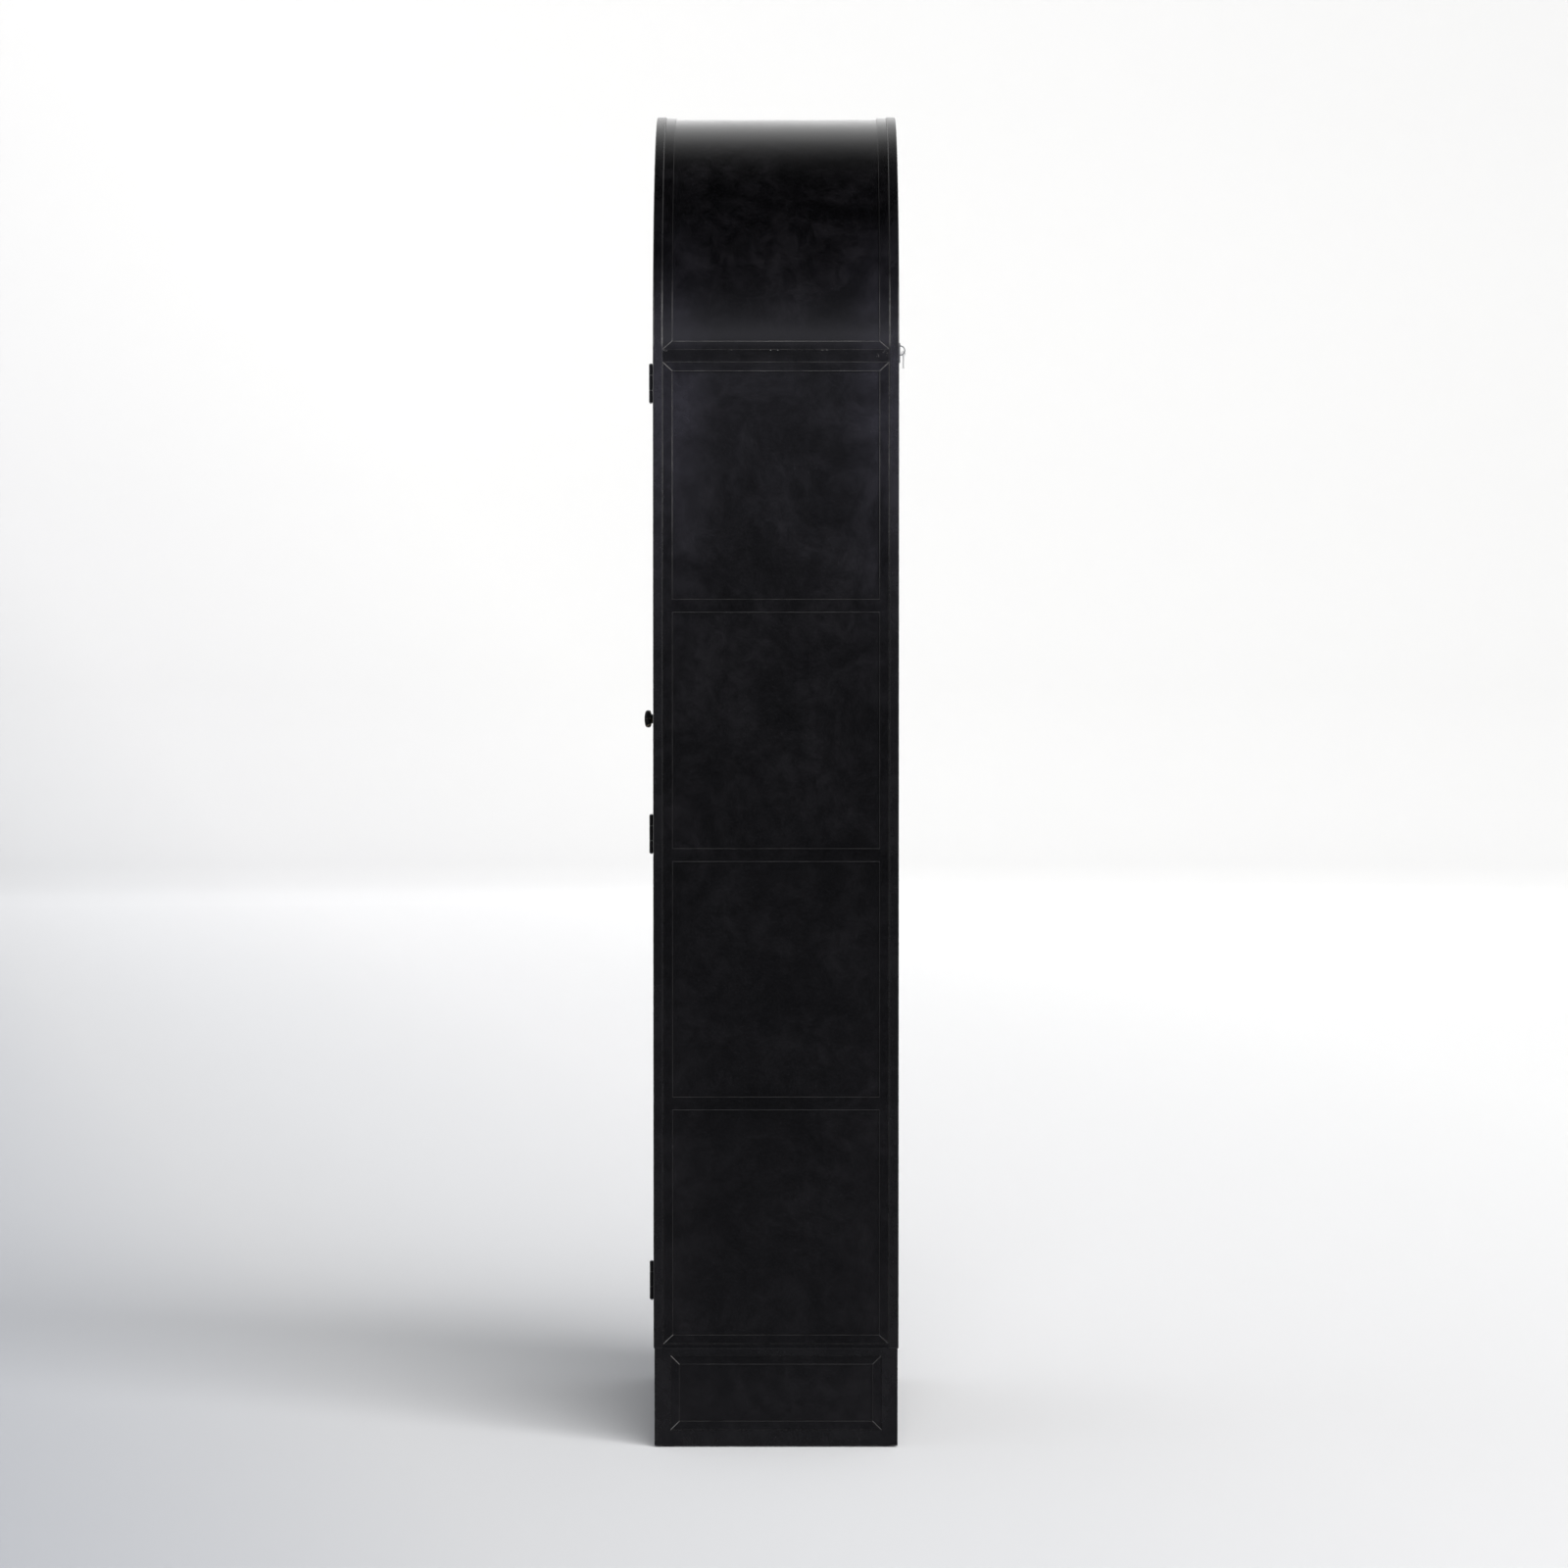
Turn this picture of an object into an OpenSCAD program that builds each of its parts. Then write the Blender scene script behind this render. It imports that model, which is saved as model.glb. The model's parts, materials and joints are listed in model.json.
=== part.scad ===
// Arch-topped longcase clock: welded steel case with a full-height glazed door,
// weight-driven time and strike trains, seconds-beating pendulum.
// Frame: X across the front, Y from front (-) to back (+), Z up from the floor.

/* [Case] */
// Overall width of the case, which is twice the arch radius
case_w = 812; // [780:2:840]
// Overall depth of the case, without knob and hinges
case_d = 400; // [390:2:420]
// Height of the arch springing line above the floor
spring_h = 1789.5; // [1760:0.5:1820]
// Height of the plinth with its glides
plinth_h = 161.5; // [150:0.5:175]
// Width of the frame tube seen from the front
tube_w = 20; // [18:1:24]
// Depth of the frame tube seen from the side
tube_d = 16; // [14:1:18]
// How far the plinth stands back from the case on each side
plinth_step = 1.5; // [0.5:0.5:4]
// Side of the plinth's corner posts
post_w = 26; // [22:1:30]
// Height of the glides that show under the plinth
glide_h = 3; // [2:0.5:6]

/* [Flat bars] */
// Width of the bars that frame each panel
bar_w = 16; // [12:1:20]
// Thickness of the bars
bar_t = 3; // [2:0.5:4]
// How far the bars lie behind the faces of the frame
bar_step = 1.5; // [0.5:0.5:2.5]
// Width of the three cross bars on each side
cross_bar_w = 22; // [18:1:26]
// Height of the top cross bar's middle
cross_bar_h = 1374; // [1350:1:1400]
// Distance from one cross bar to the next
cross_bar_pitch = 405.5; // [380:0.5:420]
// Open joint at each mitre
mitre_gap = 0.5; // [0.2:0.1:1]

/* [Door] */
// Gap between the door and the frame round it
door_gap = 2; // [1.5:0.5:3]
// Width of the door's own frame
door_bar_w = 22; // [20:1:28]
// Thickness of the door
door_t = 18; // [16:1:22]
// Width of the door's glazing bars
muntin_w = 20; // [16:1:26]
// Length of each hinge
hinge_l = 62; // [50:1:80]
// Height of the knob's middle
knob_h = 1170; // [1100:5:1250]
// How far the knob stands out
knob_out = 33; // [28:1:36]

/* [Dial and hands] */
// Outer radius of the chapter ring
ring_r = 300; // [260:5:330]
// Width of the chapter ring
ring_w = 85; // [70:5:95]
// Length of the minute hand from its axis
minute_l = 272; // [240:2:290]
// Length of the hour hand from its axis
hour_l = 186; // [150:2:200]
// Minutes past the hour that the hands show
shown_minute = 10; // [0:1:59]
// Hour that the hands show
shown_hour = 10; // [1:1:12]

/* [Movement] */
// Teeth of the centre wheel
centre_teeth = 64; // [64]
// Teeth of the third wheel
third_teeth = 60; // [60]
// Leaves of every pinion in the trains
leaves = 8; // [8]
// Radius of the winding drums
drum_r = 20; // [18:1:21]
// Length of the pendulum from its pivot to the middle of its bob
pendulum_l = 994; // [960:1:1000]
// Radius of the bob
bob_r = 105; // [90:5:120]

/* [Weights] */
// Radius of each weight
weight_r = 38; // [34:1:42]
// Length of each weight's shell
weight_l = 220; // [200:5:240]
// Radius of the sheaves over which the weights hang
sheave_r = 24; // [22:1:26]
// Height of the sheave axles with the clock run down
sheave_h = 640; // [600:5:700]

/* [Hidden] */
$fn = 96;

half_w = case_w / 2;
half_d = case_d / 2;
frame_in = half_w - tube_w;              // inner radius of the front and rear frames
frame_back = -half_d + tube_d;           // back of the front frame
bar_out = half_w - bar_step;             // outer face of the side bars
sheet_out = bar_out - bar_t;             // outer face of the side sheets
sheet_t = 1.5;
inside_r = sheet_out - sheet_t;          // clear radius inside the sheets
rail_h = 20;                             // height of the cross rails at the springing
rail_low = 8;                            // height of the rails on the plinth
side_low = plinth_h + rail_low;          // where the side sheets start
side_high = spring_h - rail_h;           // where the side sheets end
plinth_x = half_w - plinth_step;
plinth_y = half_d - plinth_step;

door_out = frame_in - door_gap;
door_in = door_out - door_bar_w;
door_low = plinth_h + tube_w + door_gap;
door_front = -half_d;
door_back = door_front + door_t;
lip_back = door_front + 10;              // back of the lip in front of the glass
rebate = 6;                              // how far the glass runs under the lip
glass_t = 4;
web = 3;                                 // half the muntin's web between two panes
hinge_x = frame_in - door_gap / 2;
hinge_y = door_front - 3.4;
hinge_r = 3.2;
pin_r = 1.5;
run = 0.05;                              // radial clearance of every turning fit
hinge_heights = [1735, 1002, 272];
tether_r = 7.5;                          // ring on the tether plate
muntin_heights = [for (k = [0:2]) cross_bar_h - k * cross_bar_pitch];

dial_z = spring_h;
dial_y = -140;                           // front face of the dial plate
front_y = -95;                           // front face of the front plate
back_y = 8;                              // rear face of the back plate
plate_t = 3;
plate_x = 130;
plate_low = -112;
plate_high = 125;
arbor_r = 2;
pivot_r = 1.5;
tooth = [0.75, 1.1, 0.55, 0.40, 0.14];   // addendum, dedendum, root, pitch and tip width
leaf = [0.5, 1.15, 0.34, 0.34, 0.14];
m_great = 1.25;
m_centre = 1.1;
m_third = 1.0;
m_cannon = 0.8;
great_teeth = 96;
strike_teeth = 80;
cannon_teeth = 24;
minute_leaves = 12;
hour_teeth = 72;
escape_teeth = 30;
escape_r = 26;
// Arbor places, measured from the dial's centre; angles run from +X towards +Z
function polar(r, a) = [r * cos(a), r * sin(a)];
great_a = -35;
great_p = polar((great_teeth + leaves) / 2 * m_great, great_a);
strike_p = [-great_p[0], great_p[1]];
pin_a = 110;
pin_p = strike_p + polar((strike_teeth + leaves) / 2 * m_great, pin_a);
fly_a = 70;
fly_p = pin_p + polar((centre_teeth + leaves) / 2 * m_third, fly_a);
escape_z = 60;
escape_p = [0, escape_z];
centre_third = (centre_teeth + leaves) / 2 * m_centre;
third_escape = (third_teeth + leaves) / 2 * m_third;
third_a = 90 + acos((centre_third * centre_third + escape_z * escape_z - third_escape * third_escape)
                    / (2 * centre_third * escape_z));
third_p = polar(centre_third, third_a);
to_escape = escape_p - third_p;
third_escape_a = atan2(to_escape[1], to_escape[0]);
minute_a = 225;
minute_gap = (cannon_teeth + 2 * cannon_teeth) / 2 * m_cannon;
m_minute = minute_gap * 2 / (minute_leaves + hour_teeth);
minute_p = polar(minute_gap, minute_a);
anchor_p = [0, escape_z + escape_r * sqrt(2)];
hammer_p = [-100, 85];
pin_circle = 27;                         // radius of the lifting pins on the pin wheel
pivot_z = dial_z + anchor_p[1];
bob_z = pivot_z - pendulum_l;
rod_y = 45;
rod_r = 4;
cable_r = 0.9;
cable_y = -51;
cable_x = great_p[0] + drum_r + cable_r; // the strand that leaves the drum
weight_x = cable_x + sheave_r;
post_x = weight_x + sheave_r;            // the strand that is tied to a post
post_r = 3.5;
cable_top = dial_z + great_p[1];
bell_z = 150;                            // mouth of the bell above the dial's centre
bell_r = 50;
bell_y = -46;

steel = [0.07, 0.07, 0.08];
brass = [0.78, 0.62, 0.30];
bright = [0.72, 0.73, 0.75];

// ---- shared shapes ----
module box(x0, x1, y0, y1, z0, z1)
    translate([x0, y0, z0]) cube([x1 - x0, y1 - y0, z1 - z0]);

// Round bar along Y at x, z
module rod(x, z, y0, y1, r)
    translate([x, y1, z]) rotate([90, 0, 0]) cylinder(r = r, h = y1 - y0);

// A flat outline drawn in X and Z, from y0 to y1
module slab(y0, y1)
    translate([0, y1, 0]) rotate([90, 0, 0]) linear_extrude(y1 - y0) children();

// A flat outline drawn in Y and Z, from x0 to x1
module plate(x0, x1)
    translate([x0, 0, 0]) rotate([90, 0, 90]) linear_extrude(x1 - x0) children();

// Half ring above the springing line
module half_ring(r_in, r_out, y0, y1)
    translate([0, y1, spring_h]) rotate([90, 0, 0]) rotate_extrude(angle = 180)
        translate([r_in, 0]) square([r_out - r_in, y1 - y0]);

// Arched frame: half ring on two legs
module arch_frame(r_in, r_out, low, y0, y1) {
    half_ring(r_in, r_out, y0, y1);
    for (s = [0, 1]) mirror([s, 0, 0]) box(r_in, r_out, y0, y1, low, spring_h);
}

// Arched sheet
module arch_sheet(r, low, y0, y1) {
    half_ring(0, r, y0, y1);
    box(-r, r, y0, y1, low, spring_h);
}

// Four bars round a rectangle, mitred at the corners: wu across, wv up
module mitred_bars(u0, u1, v0, v1, wu, wv) {
    g = mitre_gap / 2;
    for (s = [0, 1]) {
        translate([s * (u0 + u1), 0]) mirror([s, 0])
            polygon([[u0, v0 + g], [u0 + wu, v0 + wv + g], [u0 + wu, v1 - wv - g], [u0, v1 - g]]);
        translate([0, s * (v0 + v1)]) mirror([0, s])
            polygon([[u0 + g, v0], [u1 - g, v0], [u1 - wu - g, v0 + wv], [u0 + wu + g, v0 + wv]]);
    }
}

// Toothed disc with a tooth along +X; form holds the tooth's heights and widths
module toothed(n, m, form) {
    r = n * m / 2;
    step = 180 / n;
    polygon([for (i = [0:n - 1], e = [[r - form[1] * m, -form[2]], [r, -form[3]], [r + form[0] * m, -form[4]],
                                     [r + form[0] * m, form[4]], [r, form[3]], [r - form[1] * m, form[2]]])
        polar(e[0], (2 * i + e[1]) * step)]);
}

// Wheel or pinion on an arbor at p, turned so that a tooth points along a
module gear(p, n, m, form, a, y0, y1)
    translate([p[0], 0, dial_z + p[1]]) slab(y0, y1) rotate(a) toothed(n, m, form);

// Pinion turned so that a gap points back to the wheel that drives it along a
module pinion(p, n, m, a, y0, y1)
    gear(p, n, m, leaf, a + 180 + 180 / n, y0, y1);

// Wheel with crossings: n teeth, and spokes between hub and rim
module crossed_wheel(p, n, m, a, y0, y1, rim, hub, spokes)
    difference() {
        gear(p, n, m, tooth, a, y0, y1);
        translate([p[0], 0, dial_z + p[1]]) difference() {
            slab(y0 - 1, y1 + 1) difference() { circle(r = rim); circle(r = hub); }
            for (k = [0:spokes - 1])
                rotate([0, 360 / spokes * k + a, 0]) box(0, rim + 1, y0 - 2, y1 + 2, -2.2, 2.2);
        }
    }

// Arbor at p with a pivot in each plate
module arbor(p, r) {
    z = dial_z + p[1];
    rod(p[0], z, front_y + plate_t + 0.2, back_y - plate_t - 0.2, r);
    rod(p[0], z, front_y, back_y, pivot_r);
}

// ---- plinth and case ----
module glides() color("dimgray")
    for (x = [-1, 1], y = [-1, 1])
        translate([x * (plinth_x - 22), y * (plinth_y - 22), 0]) {
            cylinder(r = 14, h = glide_h);
            cylinder(r = 4, h = glide_h + 8);
        }

module plinth_frame() color(steel)
    difference() {
        union() {
            for (x = [0, 1], y = [0, 1]) mirror([x, 0, 0]) mirror([0, y, 0])
                box(plinth_x - post_w, plinth_x, plinth_y - post_w, plinth_y, glide_h, plinth_h);
            for (z = [[glide_h, glide_h + 25], [plinth_h - 11, plinth_h]]) {
                for (s = [0, 1]) mirror([s, 0, 0])
                    box(plinth_x - 20, plinth_x, -plinth_y + post_w, plinth_y - post_w, z[0], z[1]);
                for (s = [0, 1]) mirror([0, s, 0])
                    box(-plinth_x + post_w, plinth_x - post_w, plinth_y - 20, plinth_y, z[0], z[1]);
            }
        }
        for (x = [-1, 1], y = [-1, 1])
            translate([x * (plinth_x - 22), y * (plinth_y - 22), 0]) cylinder(r = 4, h = glide_h + 8);
    }

module plinth_panels() color(steel) {
    z0 = glide_h + 25;
    z1 = plinth_h - 11;
    inset = bar_step + bar_t;
    for (s = [0, 1]) mirror([s, 0, 0])
        box(plinth_x - inset - sheet_t, plinth_x - inset, -plinth_y + post_w, plinth_y - post_w, z0, z1);
    for (s = [0, 1]) mirror([0, s, 0])
        box(-plinth_x + post_w, plinth_x - post_w, plinth_y - inset - sheet_t, plinth_y - inset, z0, z1);
}

module plinth_strips() color(steel) {
    z0 = glide_h + 25;
    z1 = plinth_h - 11;
    u = plinth_y - post_w;
    v = plinth_x - post_w;
    for (s = [0, 1]) mirror([s, 0, 0])
        plate(plinth_x - bar_step - bar_t, plinth_x - bar_step) mitred_bars(-u, u, z0, z1, 15, 15);
    for (s = [0, 1]) mirror([0, s, 0])
        slab(plinth_y - bar_step - bar_t, plinth_y - bar_step) mitred_bars(-v, v, z0, z1, 15, 15);
}

module floor_pan() color(steel)
    box(-inside_r, inside_r, frame_back, -frame_back, side_low, side_low + sheet_t);

module front_frame() color(steel) {
    arch_frame(frame_in, half_w, plinth_h, -half_d, frame_back);
    box(-frame_in, frame_in, -half_d, frame_back, plinth_h, plinth_h + tube_w);
}

module rear_frame() color(steel)
    mirror([0, 1, 0]) {
        arch_frame(frame_in, half_w, plinth_h, -half_d, frame_back);
        box(-frame_in, frame_in, -half_d, frame_back, plinth_h, plinth_h + tube_w);
    }

module side_rails() color(steel)
    for (s = [0, 1]) mirror([s, 0, 0]) {
        box(frame_in, half_w, frame_back, -frame_back, side_high, spring_h);
        box(frame_in, half_w, frame_back, -frame_back, plinth_h, side_low);
    }

module side_sheet()
    box(inside_r, sheet_out, frame_back, -frame_back, side_low, side_high);

module side_panel_right() color(steel) side_sheet();

module side_panel_left() color(steel) mirror([1, 0, 0]) side_sheet();

module side_strips() color(steel)
    for (s = [0, 1]) mirror([s, 0, 0]) {
        plate(sheet_out, bar_out) mitred_bars(frame_back, -frame_back, side_low, side_high, bar_w, 15);
        for (z = muntin_heights)
            box(sheet_out, bar_out, frame_back + bar_w, -frame_back - bar_w,
                z - cross_bar_w / 2, z + cross_bar_w / 2);
    }

module arch_skin() color(steel)
    half_ring(inside_r, sheet_out, frame_back, -frame_back);

// Corner that the upright bar of the arch gives up to the bottom bar
module arch_mitre(extra)
    polygon([[frame_back - 1, spring_h - 1], [-frame_back + 1, spring_h - 1],
             [-frame_back + 1, spring_h + extra - 0.9], [-frame_back - bar_w, spring_h + 14 + extra],
             [frame_back + bar_w, spring_h + 14 + extra], [frame_back - 1, spring_h + extra - 0.9]]);

module arch_strips() color(steel) {
    for (y = [[frame_back, frame_back + bar_w], [-frame_back - bar_w, -frame_back]])
        difference() {
            half_ring(sheet_out, bar_out, y[0], y[1]);
            plate(-half_w - 1, half_w + 1) arch_mitre(mitre_gap / 2);
        }
    for (s = [0, 1]) mirror([s, 0, 0])
        intersection() {
            half_ring(sheet_out, bar_out, frame_back, -frame_back);
            plate(frame_in, half_w + 1) arch_mitre(-mitre_gap / 2);
        }
}

module back_panel() color(steel) {
    arch_sheet(frame_in, plinth_h + tube_w, half_d - 12, half_d - 12 + sheet_t);
}

module tether_eyes() color(bright)
    for (s = [0, 1]) mirror([s, 0, 0]) {
        box(half_w - 18, half_w - 2, half_d, half_d + 1.5, 1768, 1800);
        translate([half_w - 6, half_d + 1.5, 1788]) rotate([0, 90, 0])
            rotate_extrude(angle = 180) translate([tether_r, 0]) circle(r = 0.9, $fn = 24);
    }

// ---- inside the case ----
module seat_angles() color(steel)
    for (s = [0, 1]) mirror([s, 0, 0]) {
        z = dial_z + plate_low - 18;
        difference() {
            box(inside_r - 30, inside_r, dial_y + 4, -frame_back, z - 30, z);
            box(inside_r - 31, inside_r - 3, dial_y + 3, -frame_back + 1, z - 31, z - 3);
        }
    }

module seatboard() color("saddlebrown")
    difference() {
        box(-inside_r + 2, inside_r - 2, -125, 25, dial_z + plate_low - 18, dial_z + plate_low);
        for (x = [cable_x, post_x], s = [-1, 1])
            box(s * x - 9, s * x + 9, cable_y - 9, cable_y + 9, dial_z + plate_low - 19, dial_z + plate_low + 1);
        for (s = [-1, 1]) translate([s * 95, -45, dial_z + plate_low - 19]) cylinder(r = 2.8, h = 20);
    }

module catch_magnet() color("dimgray") {
    z = knob_h + 40;
    box(-inside_r, -frame_in, frame_back, frame_back + 14, z, z + 40);
    box(-frame_in, -door_in - 4, door_back + 0.4, frame_back + 14, z, z + 40);
}

// ---- door ----
module hinge_barrel(z0, z1, side)
    difference() {
        union() {
            translate([hinge_x, hinge_y, z0]) cylinder(r = hinge_r, h = z1 - z0);
            box(min(hinge_x + side * 0.2, hinge_x + side * 1), max(hinge_x + side * 0.2, hinge_x + side * 1),
                hinge_y, hinge_y + 4, z0, z1);
        }
        translate([hinge_x, hinge_y, z0 - 1]) cylinder(r = pin_r + run, h = z1 - z0 + 2);
    }

module hinge_leaf(z, side)
    box(min(hinge_x + side * 0.2, hinge_x + side), max(hinge_x + side * 0.2, hinge_x + side),
        hinge_y + 4, frame_back - 1, z - hinge_l / 2, z + hinge_l / 2);

module hinge_case_leaves() color(steel)
    for (z = hinge_heights) {
        hinge_leaf(z, 1);
        hinge_barrel(z - hinge_l / 2, z - 11, 1);
        hinge_barrel(z + 13.5, z + hinge_l / 2, 1);
    }

module hinge_door_leaves() color(steel)
    for (z = hinge_heights) {
        hinge_leaf(z, -1);
        hinge_barrel(z - 10.8, z + 13.3, -1);
    }

module hinge_pins() color(steel)
    for (z = hinge_heights)
        translate([hinge_x, hinge_y, z - hinge_l / 2 - 1.5]) {
            cylinder(r = pin_r, h = hinge_l + 3);
            cylinder(r = 2.4, h = 1.5);
            translate([0, 0, hinge_l + 1.5]) cylinder(r = 2.4, h = 1.5);
        }

module door_frame() color(steel)
    difference() {
        union() {
            arch_frame(door_in, door_out, door_low, door_front, lip_back);
            arch_frame(door_in + rebate, door_out, door_low, lip_back, door_back);
            box(-door_in, door_in, door_front, lip_back, door_low, door_low + door_bar_w);
            box(-door_in - rebate, door_in + rebate, lip_back, door_back, door_low,
                door_low + door_bar_w - rebate);
        }
        rod(-(door_in + door_out) / 2, knob_h, door_front - 1, door_back + 1, 2.2);
    }

module door_muntins() color(steel)
    for (z = muntin_heights) {
        box(-door_in, door_in, door_front + 1, lip_back, z - muntin_w / 2, z + muntin_w / 2);
        box(-door_in - rebate, door_in + rebate, lip_back, door_back - 1, z - web, z + web);
    }

pane_r = door_in + rebate - 0.5;
pane_edges = concat([door_low + door_bar_w - rebate + 0.5],
                    [for (k = [2, 1, 0], e = [-web - 0.5, web + 0.5]) muntin_heights[k] + e],
                    [spring_h]);

module door_glass() color([0.8, 0.9, 0.95, 0.35]) {
    for (k = [0:2])
        box(-pane_r, pane_r, lip_back, lip_back + glass_t, pane_edges[2 * k], pane_edges[2 * k + 1]);
    arch_sheet(pane_r, pane_edges[6], lip_back, lip_back + glass_t);
}

module glazing_beads() color(steel) {
    y0 = lip_back + glass_t;
    y1 = door_back;
    b = 6;
    for (k = [0:2]) difference() {
        box(-pane_r, pane_r, y0, y1, pane_edges[2 * k], pane_edges[2 * k + 1]);
        box(-pane_r + b, pane_r - b, y0 - 1, y1 + 1, pane_edges[2 * k] + b, pane_edges[2 * k + 1] - b);
    }
    arch_frame(pane_r - b, pane_r, pane_edges[6], y0, y1);
    box(-pane_r + b, pane_r - b, y0, y1, pane_edges[6], pane_edges[6] + b);
}

module door_knob() color(steel) {
    x = -(door_in + door_out) / 2;
    rod(x, knob_h, door_front - 3, door_front, 11);
    translate([x, door_front - 3, knob_h]) rotate([90, 0, 0]) cylinder(r1 = 9, r2 = 5.5, h = 8);
    rod(x, knob_h, door_front - 23, door_front - 10, 5.5);
    translate([x, door_front - 14, knob_h]) rotate([90, 0, 0]) cylinder(r1 = 5.5, r2 = 7.5, h = 8);
    intersection() {
        rod(x, knob_h, door_front - knob_out, door_front - 22, 15.5);
        translate([x, door_front - knob_out + 17.5, knob_h]) sphere(r = 17.5);
    }
    rod(x, knob_h, door_front, door_back + 1, 2);
    rod(x, knob_h, door_back, door_back + 2.5, 5);
}

// ---- dial ----
module dial_plate() color([0.12, 0.12, 0.13]) {
    difference() {
        arch_sheet(inside_r - 20, 1490, dial_y, dial_y + 2);
        rod(0, dial_z, dial_y - 1, dial_y + 3, 8.5);
        rod(0, dial_z + escape_z, dial_y - 1, dial_y + 3, 3);
        for (s = [-1, 1]) rod(s * great_p[0], dial_z + great_p[1], dial_y - 1, dial_y + 3, 9);
    }
    for (x = [-112, 112], z = [-70, 70]) rod(x, dial_z + z, dial_y + 2, front_y, 4);
}

module chapter_ring() color(brass)
    translate([0, 0, dial_z]) slab(dial_y - 2, dial_y)
        difference() { circle(r = ring_r); circle(r = ring_r - ring_w); }

// One straight stroke of a numeral, from x0 at its foot to x1 at its head
stroke_w = 6;
numeral_h = 46;
module stroke(x0, x1)
    polygon([[x0 - stroke_w / 2, 0], [x0 + stroke_w / 2, 0],
             [x1 + stroke_w / 2, numeral_h], [x1 - stroke_w / 2, numeral_h]]);

numerals = ["XII", "I", "II", "III", "IIII", "V", "VI", "VII", "VIII", "IX", "X", "XI"];
function letter_w(c) = c == "I" ? 12 : 30;
function start_of(s, i) = i == 0 ? 0 : start_of(s, i - 1) + letter_w(s[i - 1]);

module letter(c) {
    if (c == "I") stroke(6, 6);
    if (c == "V") { stroke(15, 5); stroke(15, 25); }
    if (c == "X") { stroke(5, 25); stroke(25, 5); }
}

module dial_numerals() color([0.05, 0.05, 0.05])
    for (h = [0:11]) translate([0, 0, dial_z]) rotate([0, 30 * h, 0]) {
        s = numerals[h];
        w = start_of(s, len(s));
        translate([0, 0, ring_r - 70]) slab(dial_y - 3, dial_y - 2)
            for (i = [0:len(s) - 1]) translate([start_of(s, i) - w / 2, 0]) letter(s[i]);
        for (m = [0:4]) rotate([0, 6 * m, 0])
            translate([0, 0, ring_r - 15]) slab(dial_y - 2.6, dial_y - 2)
                translate([m == 0 ? -2.5 : -1, 0]) square([m == 0 ? 5 : 2, 10]);
    }

// ---- movement ----
module plate_blank(y0, y1)
    box(-plate_x, plate_x, y0, y1, dial_z + plate_low, dial_z + plate_high);

pillars = [[-95, -95], [95, -95], [-118, 108], [118, 108]];
posts = [[post_x, great_p[1]], [-post_x, great_p[1]]];
pillar_end = 3;
seat_screw_l = 32;

module plate_holes(y0, y1) {
    for (p = [third_p, escape_p, pin_p, fly_p, hammer_p])
        rod(p[0], dial_z + p[1], y0, y1, pivot_r + run);
    for (p = concat(pillars, posts)) rod(p[0], dial_z + p[1], y0, y1, pillar_end);
}

module movement_front_plate() color(brass) {
    y0 = front_y;
    y1 = front_y + plate_t;
    difference() {
        plate_blank(y0, y1);
        plate_holes(y0 - 1, y1 + 1);
        rod(0, dial_z, y0 - 1, y1 + 1, arbor_r + 0.5 + run);
        rod(0, dial_z + anchor_p[1], y0 - 1, y1 + 1, pivot_r + run);
        for (p = [great_p, strike_p]) rod(p[0], dial_z + p[1], y0 - 1, y1 + 1, 4 + run);
    }
    rod(minute_p[0], dial_z + minute_p[1], y0 - 19, y0, arbor_r);
}

module movement_back_plate() color(brass) {
    y0 = back_y - plate_t;
    y1 = back_y;
    difference() {
        plate_blank(y0, y1);
        plate_holes(y0 - 1, y1 + 1);
        rod(0, dial_z, y0 - 1, y1 + 1, pivot_r + run);
        rod(0, dial_z + anchor_p[1], y0 - 1, y1 + 1, 6);
        for (p = [great_p, strike_p]) rod(p[0], dial_z + p[1], y0 - 1, y1 + 1, pivot_r + run);
    }
}

module plate_pillars() color(brass)
    difference() {
        union() {
            for (p = concat(pillars, posts)) {
                r = p[0] == post_x || p[0] == -post_x ? post_r : 6;
                rod(p[0], dial_z + p[1], front_y + plate_t, back_y - plate_t, r);
                rod(p[0], dial_z + p[1], front_y - 5, back_y + 5, pillar_end);
            }
        }
        for (s = [-1, 1]) translate([s * 95, -45, dial_z - 102]) cylinder(r = 2.5, h = 8);
    }

// Nuts on the pillars, and the two screws that hold the movement down on its seatboard
module movement_nuts() color(bright) {
    for (p = concat(pillars, posts), y = [front_y - 4, back_y])
        translate([p[0], y + 4, dial_z + p[1]]) rotate([90, 0, 0])
            difference() {
                cylinder(r = 6, h = 4, $fn = 6);
                translate([0, 0, -1]) cylinder(r = pillar_end, h = 6);
            }
    for (s = [-1, 1]) translate([s * 95, -45, dial_z]) {
        translate([0, 0, plate_low - 22]) cylinder(r = 2.5, h = seat_screw_l);
        translate([0, 0, plate_low - 22]) cylinder(r = 7, h = 4);
    }
}

module time_great_wheel() color(brass) {
    z = dial_z + great_p[1];
    crossed_wheel(great_p, great_teeth, m_great, great_a + 180, -82, -78, 52, 26, 5);
    rod(great_p[0], z, -78, -76, 24);
    rod(great_p[0], z, -76, -36, drum_r);
    rod(great_p[0], z, -36, -34, 24);
    rod(great_p[0], z, front_y - 2, back_y - plate_t - 0.2, 4);
    rod(great_p[0], z, front_y, back_y, pivot_r);
    box(great_p[0] - 2.8, great_p[0] + 2.8, dial_y - 1, front_y, z - 2.8, z + 2.8);
}

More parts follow.
